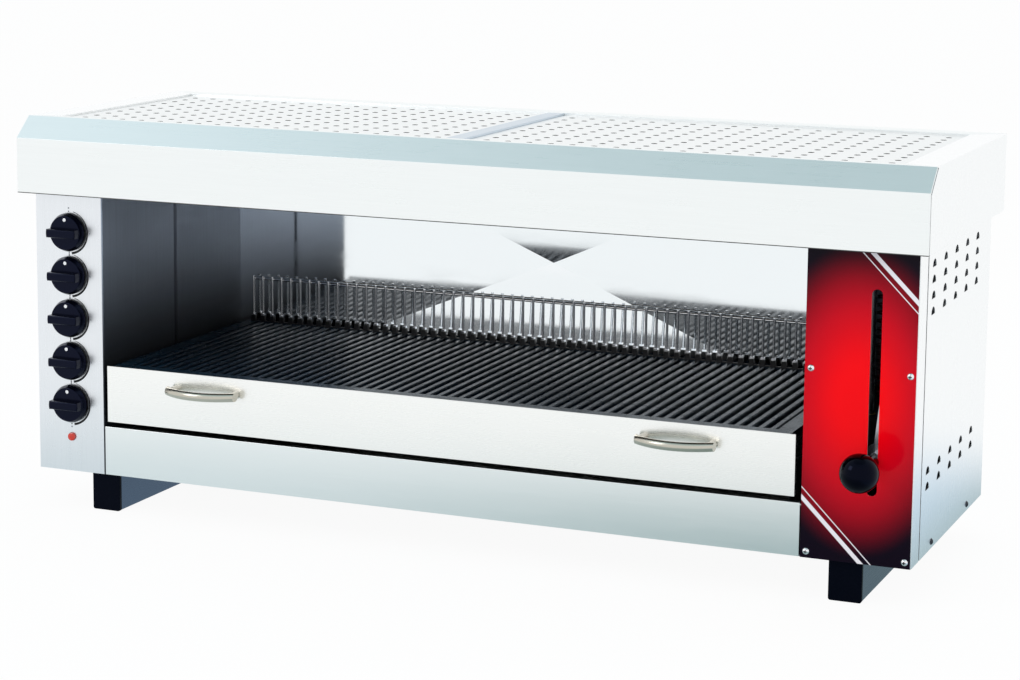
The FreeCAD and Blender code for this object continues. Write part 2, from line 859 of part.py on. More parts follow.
def drawer_front():
    """Front sheet with a return along the bottom and both sides."""
    face = box(drawer_left, drawer_right, drawer_face, drawer_sheet_back, drawer_bottom, drawer_top)
    returns = [box(drawer_left, drawer_right, drawer_face, drawer_face + drawer_return, drawer_bottom,
                   drawer_bottom + skin)]
    for x in (drawer_left, drawer_right - skin):
        returns.append(box(x, x + skin, drawer_face, drawer_face + drawer_return, drawer_bottom, box_top))
    return drill(fuse([face] + returns), handle_seats, V(0, 1, 0), handle_screw_radius)


def drawer_box():
    """Open box behind the front, with an inward rim that carries the grate."""
    y0 = drawer_sheet_back
    outer = box(box_left, box_right, y0, box_rear, box_bottom, box_top)
    inside = box(box_left + pan_sheet, box_right - pan_sheet, y0 + pan_sheet, box_rear - pan_sheet,
                 box_bottom + pan_sheet, box_top - pan_sheet)
    mouth = box(box_left + box_rim, box_right - box_rim, y0 + box_rim, box_rear - box_rim,
                box_top - 2 * pan_sheet, box_top + over)
    return drill(outer.cut(inside).cut(mouth), handle_seats, V(0, 1, 0), handle_screw_radius)


def rounded_upright(shape, radius):
    """The shape with its upright edges rounded."""
    upright = [edge for edge in shape.Edges if abs(edge.Vertexes[0].Z - edge.Vertexes[1].Z) > close]
    return shape.makeFillet(radius, upright)


def drip_tray():
    """Loose pan on the floor of the drawer box, with its corners rounded."""
    x0 = box_left + box_rim + tray_gap
    x1 = box_right - box_rim - tray_gap
    y0 = drawer_sheet_back + box_rim + tray_gap
    y1 = box_rear - box_rim - tray_gap
    z0 = box_bottom + pan_sheet
    outer = box(x0, x1, y0, y1, z0, z0 + tray_height)
    inside = box(x0 + pan_sheet, x1 - pan_sheet, y0 + pan_sheet, y1 - pan_sheet, z0 + pan_sheet,
                 z0 + tray_height + over)
    return rounded_upright(outer, tray_corner).cut(rounded_upright(inside, tray_corner - pan_sheet))


def handle(x):
    """A round bar bowed away from the drawer in one arc, cut off square at its ends, on two round feet."""
    half = handle_span / 2
    end_y = drawer_face - handle_end_standoff
    middle_y = drawer_face - handle_bow
    reach = half + handle_radius
    drop = end_y - middle_y
    bow_radius = (half ** 2 + drop ** 2) / (2 * drop)
    centre_y = middle_y + bow_radius
    swing = math.asin(reach / bow_radius)
    start = V(x - reach, centre_y - bow_radius * math.cos(swing), handle_z)
    end = V(x + reach, start.y, handle_z)
    arc = Part.Arc(start, V(x, middle_y, handle_z), end)
    direction = arc.tangent(arc.FirstParameter)[0]
    bow = swept(Part.Wire([arc.toShape()]), start, direction, handle_radius)
    room = box(x - half, x + half, middle_y - handle_bow, drawer_face,
               handle_z - handle_bow, handle_z + handle_bow)
    bow = bow.common(room)
    pieces = [bow]
    for side in (-1, 1):
        foot_x = x + side * handle_foot
        foot = rod(V(foot_x, drawer_face, handle_z), V(0, -1, 0), handle_end_standoff, handle_foot_radius)
        pieces.append(foot)
    grip = fuse(pieces)
    seats = [seat for seat in handle_seats if abs(seat.x - x) < half]
    return drill(grip, seats, V(0, 1, 0), handle_screw_radius, handle_screw_length - skin - pan_sheet)


def handle_screw(seat):
    """A screw through the drawer's two sheets into a handle's foot, with its head inside the box."""
    head_y = drawer_sheet_back + pan_sheet
    head = rod(V(seat.x, head_y, seat.z), V(0, 1, 0), screw_head_height, screw_head_radius)
    shank = rod(V(seat.x, head_y, seat.z), V(0, -1, 0), handle_screw_length, handle_screw_radius)
    return fuse([head, shank])


parts["drawer_front"] = drawer_front()
parts["drawer_box"] = drawer_box()
parts["drip_tray"] = drip_tray()
parts["drawer_handles"] = Part.makeCompound([handle(x) for x in handle_xs])
parts["handle_screws"] = Part.makeCompound([handle_screw(seat) for seat in handle_seats])


# Grate: border frame, welded bars and an upright fence along the back

frame_front = drawer_sheet_back
frame_inner_front = frame_front + grate_front_bar
frame_inner_rear = box_rear - grate_rear_bar
fence_y = box_rear - grate_rear_bar / 2
bar_xs = [wire_first + wire_pitch * i for i in range(1, wire_count - 1)]


def grate_frame():
    outer = box(box_left, box_right, frame_front, box_rear, grate_base, drawer_top)
    opening = box(box_left + grate_side_bar + box_rim / 2, box_right - grate_side_bar - box_rim / 2,
                  frame_inner_front, frame_inner_rear, grate_base - over, drawer_top + over)
    return outer.cut(opening)


def grate_bar(x):
    """A flat-topped bar with broken upper edges, and a tapered foot for a fence wire at its rear end."""
    half = bar_width / 2
    outline = [
        (x - half, grate_base),
        (x + half, grate_base),
        (x + half, drawer_top - bar_edge),
        (x + half - bar_edge, drawer_top),
        (x - half + bar_edge, drawer_top),
        (x - half, drawer_top - bar_edge),
    ]
    return prism(outline, "XZ", frame_inner_front, frame_inner_rear)


def fence_foot(x):
    """A tapered upstand that holds the lower end of a fence wire."""
    half = bar_width / 2
    top = fence_wire_radius + fence_foot_lip
    outline = [(x - half, drawer_top), (x + half, drawer_top)]
    outline += [(x + top, drawer_top + fence_foot_height), (x - top, drawer_top + fence_foot_height)]
    return prism(outline, "XZ", fence_y - fence_foot_depth / 2, fence_y + fence_foot_depth / 2)


def grate_bars():
    """Bars joined by cross bars under them. A groove crosses their tops near the front."""
    x0 = bar_xs[0] - bar_width / 2
    x1 = bar_xs[-1] + bar_width / 2
    run = frame_inner_rear - frame_inner_front
    low = grate_base - cross_bar_drop
    pieces = [grate_bar(x) for x in bar_xs]
    for i in range(cross_bar_count):
        y = frame_inner_front + run * (i + 0.5) / cross_bar_count
        pieces.append(box(x0, x1, y, y + cross_bar_width, low, grate_base + over))
    groove_y = frame_front + groove_from_front
    groove = box(x0 - over, x1 + over, groove_y, groove_y + groove_width, drawer_top - groove_depth,
                 drawer_top + over)
    return fuse(pieces).cut(groove)


def grate_fence():
    """Upright wires on tapered feet, one over each bar, tied by a wire along the top and a foot strip."""
    xs = [wire_first + wire_pitch * i for i in range(wire_count)]
    low = drawer_top + fence_foot_height - fence_wire_overlap
    wires = [rod(V(x, fence_y, low), V(0, 0, 1), fence_top - low, fence_wire_radius) for x in xs]
    tie_start = V(xs[0] - fence_wire_radius, fence_y + fence_tie_offset, fence_top - fence_tie_drop)
    tie = rod(tie_start, V(1, 0, 0), xs[-1] - xs[0] + 2 * fence_wire_radius, fence_wire_radius)
    feet = [fence_foot(x) for x in xs]
    strip = box(xs[0] - bar_width / 2, xs[-1] + bar_width / 2, fence_y - fence_foot_depth / 2,
                fence_y + fence_foot_depth / 2, drawer_top, drawer_top + fence_strip_height)
    return fuse([fuse([tie] + wires), fuse([strip] + feet)])


parts["grate_frame"] = grate_frame()
parts["grate_bars"] = grate_bars()
parts["grate_fence"] = grate_fence()


# Lift: a carriage on two guide rods, hung from counter-springs and moved by the lever

runner_left = box_left - runner_clearance
runner_right = box_right + runner_clearance
member_front = box_rear + runner_clearance / 2
carriage_front = drawer_face + drawer_return + carriage_front_gap
block_gap = wall_slot_lip + block_wall_gap
left_block_x1 = chamber_left - block_gap
right_block_x0 = chamber_right + block_gap
left_rod_x = left_block_x1 - block_width / 2
right_rod_x = right_block_x0 + block_width / 2
rod_xs = (left_rod_x, right_rod_x)
hanger_top = deck_under - hanger_below_deck
hanger_low = hanger_top - hanger_height
spring_y = lift_y + spring_offset


def carriage_frame():
    """Two angle runners under the drawer's edges, tied by a flat bar behind the drawer."""
    top = drawer_bottom + runner_height
    left_line = [(runner_left - runner_thickness, top), (runner_left - runner_thickness, drawer_bottom)]
    left_line.append((runner_left - runner_thickness + runner_shelf, drawer_bottom))
    right_line = [(runner_right + runner_thickness - runner_shelf, drawer_bottom)]
    right_line += [(runner_right + runner_thickness, drawer_bottom), (runner_right + runner_thickness, top)]
    rear = member_front + cross_member
    left = folded(left_line, -runner_thickness, "XZ", carriage_front, rear)
    right = folded(right_line, -runner_thickness, "XZ", carriage_front, rear)
    member = box(runner_left - runner_thickness, runner_right + runner_thickness, member_front, rear,
                 drawer_bottom, drawer_bottom + cross_member_height)
    return fuse([left, right, member])


def lift_bracket(x0, x1, tongue_x0, tongue_x1, rod_x):
    """A slide block bored for its bushes, with a tongue through the wall's slot and an ear for the spring."""
    half = block_depth / 2
    block = box(x0, x1, lift_y - half, lift_y + half, block_bottom, block_bottom + block_height)
    tongue = box(tongue_x0, tongue_x1, lift_y - tongue_thickness / 2, lift_y + tongue_thickness / 2,
                 drawer_bottom + tongue_rise, drawer_bottom + tongue_rise + tongue_height)
    ear = box(rod_x - block_width / 2, rod_x + block_width / 2, lift_y + half, spring_y + spring_ear_reach,
              spring_low - spring_ear_thickness, spring_low)
    return fuse([block, tongue, ear]).cut(rod(V(rod_x, lift_y, 0), V(0, 0, 1), hood_top, bush_radius))


def guide_bush(x, z):
    """A plain sleeve with a running fit on its rod."""
    outer = rod(V(x, lift_y, z), V(0, 0, 1), bush_length, bush_radius)
    bore = rod(V(x, lift_y, z - over), V(0, 0, 1), bush_length + 2 * over, rod_radius + running_clearance)
    return outer.cut(bore)


def rod_hanger(x, wall_x):
    """A block on the chamber's wall that holds a guide rod's top, with a post for the spring above it."""
    half = block_depth / 2
    x0 = min(x - block_width / 2, wall_x)
    x1 = max(x + block_width / 2, wall_x)
    block = box(x0, x1, lift_y - half, lift_y + half, hanger_low, hanger_top)
    block = block.cut(rod(V(x, lift_y, 0), V(0, 0, 1), hood_top, rod_radius))
    post_y0 = lift_y + half - spring_post_thickness
    post_top = spring_high + spring_ear_thickness
    post = box(x - block_width / 2, x + block_width / 2, post_y0, lift_y + half, hanger_low, post_top)
    arm = box(x - block_width / 2, x + block_width / 2, post_y0, spring_y + spring_ear_reach,
              spring_high, post_top)
    return fuse([block, post, arm])


def biarc(p0, t0, p1, t1):
    """Two arcs that leave p0 along t0, meet smoothly and reach p1 along t1, with equal tangent lengths."""
    chord = p1 - p0
    along = chord.dot(t0 + t1)
    bend = 2 * (1 - t0.dot(t1))
    length = (-along + math.sqrt(along ** 2 + bend * chord.dot(chord))) / bend
    q0 = p0 + t0 * length
    q1 = p1 - t1 * length
    joint = (q0 + q1) * 0.5
    edges = []
    for start, corner, end in ((p0, q0, joint), (joint, q1, p1)):
        half = (start - end).Length / 2
        rise = math.sqrt(length ** 2 - half ** 2)
        sagitta = half * (length - half) / rise
        middle = (start + end) * 0.5 + unit(corner - (start + end) * 0.5) * sagitta
        edges.append(Part.Arc(start, middle, end).toShape())
    return edges


def counter_spring(x):
    """An extension spring in one unbroken wire: two upright leads and a helix built from half-turn biarcs."""
    low = spring_low + spring_lead
    pitch = (spring_high - spring_lead - low) / spring_coils

    def point(half_turns):
        side = 1 if half_turns % 2 == 0 else -1
        return V(x + spring_radius * side, spring_y, low + pitch * half_turns / 2)

    def tangent(half_turns):
        side = 1 if half_turns % 2 == 0 else -1
        return unit(V(0, math.pi * spring_radius * side, pitch / 2))

    up = V(0, 0, 1)
    last = 2 * spring_coils
    lower_lead = point(0) + V(0, -spring_turn_in, -spring_turn_in)
    upper_lead = point(last) + V(0, spring_turn_in, spring_turn_in)
    start = V(lower_lead.x, lower_lead.y, spring_low)
    end = V(upper_lead.x, upper_lead.y, spring_high)
    edges = [Part.LineSegment(start, lower_lead).toShape()]
    edges += biarc(lower_lead, up, point(0), tangent(0))
    for i in range(last):
        edges += biarc(point(i), tangent(i), point(i + 1), tangent(i + 1))
    edges += biarc(point(last), tangent(last), upper_lead, up)
    edges.append(Part.LineSegment(upper_lead, end).toShape())
    coil = swept(Part.Wire(edges), start, up, spring_wire_radius)
    samples = [edge.valueAt(edge.FirstParameter + (edge.LastParameter - edge.FirstParameter) * share)
               for edge in edges[3:-3] for share in (0.0, 0.5)]
    samples_per_turn = 8
    gaps = [(a - b).Length for a, b in zip(samples, samples[samples_per_turn:])]
    print("counter spring, least gap between coils:", round(min(gaps) - 2 * spring_wire_radius, 2), "mm")
    return coil


tongue_left = (left_block_x1, runner_left - runner_thickness)
tongue_right = (runner_right + runner_thickness, right_block_x0)
parts["carriage_frame"] = carriage_frame()
left_block = (left_block_x1 - block_width, left_block_x1)
right_block = (right_block_x0, right_block_x0 + block_width)
parts["lift_bracket_left"] = lift_bracket(*left_block, *tongue_left, left_rod_x)
parts["lift_bracket_right"] = lift_bracket(*right_block, *tongue_right, right_rod_x)
bush_zs = (block_bottom, block_bottom + block_height - bush_length)
parts["guide_bushes"] = Part.makeCompound([guide_bush(x, z) for x in rod_xs for z in bush_zs])
guide_rods = [rod(V(x, lift_y, base_top), V(0, 0, 1), hanger_top - base_top, rod_radius) for x in rod_xs]
parts["guide_rods"] = Part.makeCompound(guide_rods)
hangers = [rod_hanger(left_rod_x, chamber_left - skin), rod_hanger(right_rod_x, chamber_right + skin)]
parts["rod_hangers"] = Part.makeCompound(hangers)
parts["counter_springs"] = Part.makeCompound([counter_spring(x) for x in rod_xs])


# Lever: an arm from the right block to the slot, a threaded stud, two nuts and the ball knob

lug_front = inner_front + lug_setback
lug_back = lug_front + lug_thickness
arm_low = stud_z - lever_bar_height / 2
arm_high = stud_z + lever_bar_height / 2


def lever_arm():
    """A flat bar along the compartment with a lug across its front end. The lug rises to a slanted tip."""
    x0 = stud_x + nut_across_flats / 2 + lever_bar_gap
    x1 = x0 + lever_bar_thickness
    bar = box(x0, x1, lug_front, lift_y + lever_bar_thickness, arm_low, arm_high)
    rear = box(right_block_x0 + block_width, x1, lift_y, lift_y + lever_bar_thickness, arm_low, arm_high)
    tip = arm_high + lug_tip_rise
    outline = [
        (stud_x - lever_bar_height / 2, arm_low),
        (x1, arm_low),
        (x1, tip),
        (stud_x + lug_tip_offset, tip),
        (stud_x - lug_slant_offset, arm_high + lug_slant_rise),
        (stud_x - lever_bar_height / 2, arm_high),
    ]
    lug = prism(outline, "XZ", lug_front, lug_back)
    return drill(fuse([bar, rear, lug]), [V(stud_x, lug_front, stud_z)], V(0, 1, 0), stud_radius)


def hex_nut(y):
    corner = nut_across_flats / math.sqrt(3)
    outline = []
    for angle in (math.pi / 3 * i for i in range(6)):
        outline.append((stud_x + corner * math.sin(angle), stud_z + corner * math.cos(angle)))
    nut = prism(outline, "XZ", y, y + nut_height)
    return nut.cut(rod(V(stud_x, y - over, stud_z), V(0, 1, 0), nut_height + 2 * over, stud_radius))


stud_tip = ball_y + stud_from_ball_middle
stud_end = lug_back + stud_back_length


def ball_knob():
    """A ball with a tapered neck that ends just off the fascia, bored for the stud."""
    ball = Part.makeSphere(ball_radius, V(stud_x, ball_y, stud_z))
    neck_length = fascia_face - ball_neck_gap - ball_y
    middle = V(stud_x, ball_y, stud_z)
    neck = Part.makeCone(ball_neck_radius, ball_neck_tip_radius, neck_length, middle, V(0, 1, 0))
    bore_end = V(stud_x, stud_tip - running_clearance, stud_z)
    bore = rod(bore_end, V(0, 1, 0), ball_standoff, stud_radius + running_clearance)
    return fuse([ball, neck]).cut(bore)


parts["lever_arm"] = lever_arm()
parts["lever_stud"] = rod(V(stud_x, stud_tip, stud_z), V(0, 1, 0), stud_end - stud_tip, stud_radius)
parts["lever_nuts"] = Part.makeCompound([hex_nut(lug_front - nut_height), hex_nut(lug_back)])
parts["ball_knob"] = ball_knob()


# Burner controls: knob, spindle and valve for each burner, and the igniter under them

spindle_front = knob_face + spindle_end_wall
spindle_bore_back = knob_back + over


def d_section(z, radius, y0, y1):
    """A round bar along Y with a flat along its upper side."""
    bar = rod(V(control_x, y0, z), V(0, 1, 0), y1 - y0, radius)
    flat_z = z + radius - spindle_flat
    return bar.cut(box(control_x - radius, control_x + radius, y0 - over, y1 + over, flat_z, flat_z + radius))


def valve_spindle(z):
    """The spindle turns in the valve's neck, and the knob slides along its flatted end."""
    tail = rod(V(control_x, inner_front, z), V(0, 1, 0), valve_setback, spindle_radius)
    return fuse([d_section(z, spindle_radius, spindle_front, inner_front), tail])


def burner_knob(z):
    """A tapered disc with a bar grip across its face, bored for the flatted spindle."""
    reach = knob_radius - knob_taper
    slope = Part.makeCone(knob_radius, reach, knob_skirt, V(control_x, knob_back, z), V(0, -1, 0))
    rounds = [edge for edge in slope.Edges if edge.Closed]
    face_edges = [edge for edge in rounds if abs(edge.CenterOfMass.y - knob_face) < close]
    slope = slope.makeFillet(knob_edge, face_edges)
    half = grip_width / 2
    tip = knob_face - grip_height
    grip = box(control_x - reach, control_x + reach, tip, knob_face + grip_root, z - half, z + half)
    trim_length = grip_height + grip_root + 2 * over
    grip = grip.common(rod(V(control_x, tip - over, z), V(0, 1, 0), trim_length, reach - grip_inset))
    tip_edges = [edge for edge in grip.Edges if abs(edge.CenterOfMass.y - tip) < close]
    grip = grip.makeFillet(grip_edge, tip_edges)
    bore_front = spindle_front - knob_press_room
    bore = d_section(z, spindle_radius + running_clearance, bore_front, spindle_bore_back)
    return fuse([slope, grip]).cut(bore)


def gas_valve(z):
    """A valve body with a neck behind the panel and an outlet block at its left side."""
    half = valve_width / 2
    body = box(control_x - half, control_x + half, valve_front, valve_back,
               z - valve_height / 2, z + valve_height / 2)
    neck_start = V(control_x, inner_front + over, z)
    neck = rod(neck_start, V(0, 1, 0), valve_setback - over + valve_neck_root, valve_neck_radius)
    outlet_back = valve_back - outlet_inset
    outlet = box(feed_x - outlet_size / 2, control_x - half + over, outlet_back - outlet_size, outlet_back,
                 z - outlet_size / 2, z + outlet_size / 2)
    bore = rod(V(control_x, inner_front, z), V(0, 1, 0), valve_setback, spindle_radius + running_clearance)
    return fuse([body, neck, outlet]).cut(bore)


def gas_manifold():
    """A square tube up the compartment, and a pipe along the base to the threaded inlet behind a collar."""
    half = manifold_size / 2
    y0 = valve_back
    top = knob_heights[-1] + valve_height / 2
    tube = box(control_x - half, control_x + half, y0, y0 + manifold_size, base_top, top)
    pipe_start = y0 + manifold_size - over
    collar_end = panel_back + inlet_collar_length
    pipe = rod(V(control_x, pipe_start, inlet_z), V(0, 1, 0), collar_end - pipe_start, inlet_pipe_radius)
    collar = rod(V(control_x, panel_back, inlet_z), V(0, 1, 0), inlet_collar_length, inlet_collar_radius)
    thread = rod(V(control_x, collar_end, inlet_z), V(0, 1, 0), inlet_length, inlet_radius)
    hollow = box(control_x - half + manifold_wall, control_x + half - manifold_wall, y0 + manifold_wall,
                 y0 + manifold_size - manifold_wall, base_top + manifold_wall, top - manifold_wall)
    bore_start = V(control_x, y0 + half, inlet_z)
    bore = rod(bore_start, V(0, 1, 0), collar_end + inlet_length - y0, inlet_bore_radius)
    return fuse([tube, pipe, collar, thread]).cut(hollow).cut(bore)


def feed_pipe(index, z, burner_x):
    """A pipe from a valve's outlet back, up and across to its burner, ending in an injector."""
    riser_y = back_inner - feed_rear_gap - feed_radius - feed_pitch * index
    injector_y = burner_rear + venturi_length - injector_reach
    points = [
        V(feed_x, valve_back - outlet_inset, z),
        V(feed_x, riser_y, z),
        V(feed_x, riser_y, feed_z),
        V(burner_x, riser_y, feed_z),
        V(burner_x, injector_y + injector_length, feed_z),
    ]
    pipe = swept(bent_path(points, feed_bend), points[0], V(0, 1, 0), feed_radius)
    injector = rod(V(burner_x, injector_y, feed_z), V(0, 1, 0), injector_length, injector_radius)
    return fuse([pipe, injector])


def burner_body(x):
    """A shallow box over the plaques, with an open mixing tube at the back."""
    half = burner_width / 2
    shell = box(x - half, x + half, burner_front, burner_rear, deck_top, deck_top + burner_height)
    hollow = plaque_box(x, 0, deck_top - over, deck_top + burner_height - pan_sheet)
    centre = V(x, burner_rear, feed_z)
    tube = rod(centre, V(0, 1, 0), venturi_length, venturi_radius)
    mouth_start = centre - V(0, plaque_margin + over, 0)
    mouth_length = venturi_length + plaque_margin + 2 * over
    mouth = rod(mouth_start, V(0, 1, 0), mouth_length, venturi_radius - venturi_wall)
    return fuse([shell, tube]).cut(hollow).cut(mouth)


def igniter_button():
    """A round button that slides in the igniter's barrel, with a domed front end."""
    front_y = button_seat.y - button_reach + button_dome
    length = button_seat.y + skin + button_stem - front_y
    stem = rod(V(button_seat.x, front_y, button_seat.z), V(0, 1, 0), length, button_radius)
    cap_radius = (button_radius ** 2 + button_dome ** 2) / (2 * button_dome)
    ball = Part.makeSphere(cap_radius, V(button_seat.x, front_y + cap_radius - button_dome, button_seat.z))
    dome = ball.common(rod(V(button_seat.x, front_y, button_seat.z), V(0, -1, 0), button_dome, button_radius))
    return fuse([stem, dome])


def igniter_body():
    """The igniter's barrel behind the panel, bored for the button and its travel."""
    mouth = V(button_seat.x, inner_front, button_seat.z)
    barrel = rod(mouth, V(0, 1, 0), igniter_length, igniter_radius)
    depth = button_stem + button_travel + igniter_end_room
    return barrel.cut(rod(mouth, V(0, 1, 0), depth, button_radius + running_clearance))


def igniter_electrode(seat):
    """A ceramic rod through the deck with a collar on it and a wire tip under it."""
    ceramic = rod(V(seat.x, seat.y, deck_under), V(0, 0, 1), deck_sheet + electrode_rise, electrode_radius)
    collar = rod(seat, V(0, 0, 1), electrode_collar_height, electrode_collar_radius)
    tip = rod(V(seat.x, seat.y, deck_under + over), V(0, 0, -1), electrode_tip + over, electrode_tip_radius)
    return fuse([ceramic, collar, tip])


for number, z in enumerate(knob_heights[::-1], 1):
    parts["burner_knob_%d" % number] = burner_knob(z)
    parts["valve_spindle_%d" % number] = valve_spindle(z)
parts["gas_valves"] = Part.makeCompound([gas_valve(z) for z in knob_heights])
parts["gas_manifold"] = gas_manifold()
pipes = []
for index, (z, burner_x) in enumerate(zip(knob_heights, burner_centres()[::-1])):
    pipes.append(feed_pipe(index, z, burner_x))
parts["feed_pipes"] = Part.makeCompound(pipes)
parts["burner_bodies"] = Part.makeCompound([burner_body(x) for x in burner_centres()])
plaques = [plaque_box(x, 0, deck_under - plaque_drop, deck_top + plaque_height) for x in burner_centres()]
parts["burner_plaques"] = Part.makeCompound(plaques)
parts["igniter_button"] = igniter_button()
parts["igniter_body"] = igniter_body()
parts["igniter_electrodes"] = Part.makeCompound([igniter_electrode(seat) for seat in electrode_seats])


# Move everything so that the origin is on the floor under the middle of the whole object, and write the files

front_reach = ball_y - ball_radius
rear_reach = panel_back + inlet_collar_length + inlet_length
to_origin = V(0, -(front_reach + rear_reach) / 2, 0)
os.makedirs("parts", exist_ok=True)
for name, shape in parts.items():
    shape.translate(to_origin)
    shape.exportStep("parts/%s.step" % name)
print(len(parts), "parts, lift travel", round(lift_travel, 1), "mm, shift in Y", round(to_origin.y, 2), "mm")
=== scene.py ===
import json
import math

import bmesh
import bpy
import numpy as np
from mathutils import Matrix, Vector


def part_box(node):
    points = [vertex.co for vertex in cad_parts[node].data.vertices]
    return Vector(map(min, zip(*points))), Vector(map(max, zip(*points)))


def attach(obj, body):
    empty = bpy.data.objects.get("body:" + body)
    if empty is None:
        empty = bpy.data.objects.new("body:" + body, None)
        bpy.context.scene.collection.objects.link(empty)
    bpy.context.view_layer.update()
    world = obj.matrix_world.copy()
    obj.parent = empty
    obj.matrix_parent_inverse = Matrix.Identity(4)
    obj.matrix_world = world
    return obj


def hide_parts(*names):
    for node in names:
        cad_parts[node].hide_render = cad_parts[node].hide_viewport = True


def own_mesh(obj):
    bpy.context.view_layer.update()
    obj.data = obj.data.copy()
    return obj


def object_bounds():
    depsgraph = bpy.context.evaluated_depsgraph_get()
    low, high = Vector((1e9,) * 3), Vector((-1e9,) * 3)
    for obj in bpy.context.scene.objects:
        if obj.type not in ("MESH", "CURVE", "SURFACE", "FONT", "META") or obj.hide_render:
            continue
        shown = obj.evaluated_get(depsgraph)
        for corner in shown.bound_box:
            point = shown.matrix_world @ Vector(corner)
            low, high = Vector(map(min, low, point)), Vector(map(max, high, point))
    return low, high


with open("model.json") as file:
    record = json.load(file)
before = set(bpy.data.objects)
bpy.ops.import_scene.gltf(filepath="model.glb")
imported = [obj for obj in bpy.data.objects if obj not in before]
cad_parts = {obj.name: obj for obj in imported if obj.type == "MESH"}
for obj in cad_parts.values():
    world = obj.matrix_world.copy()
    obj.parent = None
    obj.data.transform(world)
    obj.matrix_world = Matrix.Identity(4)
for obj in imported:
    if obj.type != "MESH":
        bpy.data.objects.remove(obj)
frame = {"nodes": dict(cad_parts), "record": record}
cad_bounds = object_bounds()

# The look of a gas salamander grill: satin steel sheets, a mirror-bright chamber, a black enamelled grate,
# black knobs and a glossy red printed panel. Lengths are in metres. Those that are multiplied by MM, bevels
# and bumps among them, are written in millimetres.

MM = 0.001


# Camera: the photograph's place, turn and angle of view

CAMERA_PLACE = (1.2363, -2.94876, 0.86417)
CAMERA_YAW = math.radians(22.46)
CAMERA_PITCH = math.radians(-8.52)
CAMERA_ROLL = math.radians(0.57)
PICTURE_WIDTH = 1020
PICTURE_HEIGHT = 680
FOCAL_PIXELS = 2531.46
AXIS_ROW = 230
SENSOR_WIDTH = 36.0


def add_camera():
    """The photograph's camera. The lens's axis meets the picture above its middle, so the lens is shifted."""
    ahead = Vector((
        -math.sin(CAMERA_YAW) * math.cos(CAMERA_PITCH),
        math.cos(CAMERA_YAW) * math.cos(CAMERA_PITCH),
        math.sin(CAMERA_PITCH),
    ))
    right = Vector((math.cos(CAMERA_YAW), math.sin(CAMERA_YAW), 0))
    up = right.cross(ahead)
    rolled_right = right * math.cos(CAMERA_ROLL) + up * math.sin(CAMERA_ROLL)
    rolled_up = up * math.cos(CAMERA_ROLL) - right * math.sin(CAMERA_ROLL)
    data = bpy.data.cameras.new("photo_camera")
    data.sensor_width = SENSOR_WIDTH
    data.lens = FOCAL_PIXELS / PICTURE_WIDTH * SENSOR_WIDTH
    data.shift_y = -(PICTURE_HEIGHT / 2 - AXIS_ROW) / PICTURE_WIDTH
    data.clip_end = 100
    camera = bpy.data.objects.new("photo_camera", data)
    turn = Matrix((rolled_right, rolled_up, -ahead)).transposed()
    camera.matrix_world = Matrix.Translation(CAMERA_PLACE) @ turn.to_4x4()
    bpy.context.scene.collection.objects.link(camera)
    bpy.context.scene.camera = camera


# Colours and node helpers

def tone(red, green, blue):
    """A display colour, 0 to 255 in each part, as the linear colour that shaders take, by the sRGB curve."""
    levels = np.array([red, green, blue]) / 255
    linear = np.where(levels <= 0.04045, levels / 12.92, ((levels + 0.055) / 1.055) ** 2.4)
    return (*linear.tolist(), 1.0)


def scaled(colour, share):
    """The colour times share, which is one number or one for each of its three parts. No part passes 1."""
    return (*np.minimum(np.multiply(colour[:3], share), 1.0).tolist(), 1.0)


class Shader:
    """A short way to add and join nodes in one node tree."""

    def __init__(self, tree):
        self.tree = tree

    def add(self, kind, inputs=None, **settings):
        """A node with its settings. Each input is a value or the output that feeds it."""
        node = self.tree.nodes.new(kind)
        for key, value in settings.items():
            setattr(node, key, value)
        for key, value in (inputs or {}).items():
            self.feed(node.inputs[key], value)
        return node

    def feed(self, socket, value):
        """Joins an output to the socket, or sets the socket to a plain value."""
        if isinstance(value, bpy.types.NodeSocket):
            self.tree.links.new(value, socket)
        else:
            socket.default_value = value

    def math(self, operation, *values, clamp=False):
        """The result of a math node on the values."""
        inputs = dict(enumerate(values))
        return self.add("ShaderNodeMath", inputs, operation=operation, use_clamp=clamp).outputs[0]

    def span(self, value, low, high, to_low=0.0, to_high=1.0, smooth=True):
        """value moved from the range low to high into the range to_low to to_high."""
        style = "SMOOTHSTEP" if smooth else "LINEAR"
        inputs = {"Value": value, "From Min": low, "From Max": high, "To Min": to_low, "To Max": to_high}
        return self.add("ShaderNodeMapRange", inputs, interpolation_type=style).outputs["Result"]

    def mix(self, factor, first, second):
        """A colour between first, where factor is 0, and second, where it is 1."""
        node = self.add("ShaderNodeMix", data_type="RGBA")
        for name, value in (("Factor_Float", factor), ("A_Color", first), ("B_Color", second)):
            socket = next(s for s in node.inputs if s.identifier == name)
            self.feed(socket, value)
        return next(s for s in node.outputs if s.identifier == "Result_Color")

    def noise(self, vector, scale, detail, roughness):
        """Cloudy noise, 0 to 1, with about scale patches in a metre."""
        inputs = {"Vector": vector, "Scale": scale, "Detail": detail, "Roughness": roughness}
        return self.add("ShaderNodeTexNoise", inputs).outputs["Fac"]

    def relief(self, surface, height, distance):
        """Raises the surface where height is 1, by distance in metres, as far as its shading goes."""
        bump = self.add("ShaderNodeBump", {"Height": height, "Strength": 1.0, "Distance": distance})
        self.feed(surface.inputs["Normal"], bump.outputs["Normal"])

    def object_position(self):
        """The point in the part's own frame, in metres."""
        return self.add("ShaderNodeTexCoord").outputs["Object"]

    def stretched(self, vector, stretch):
        """The vector with each part multiplied by its own factor."""
        return self.add("ShaderNodeVectorMath", {0: vector, 1: stretch}, operation="MULTIPLY").outputs[0]


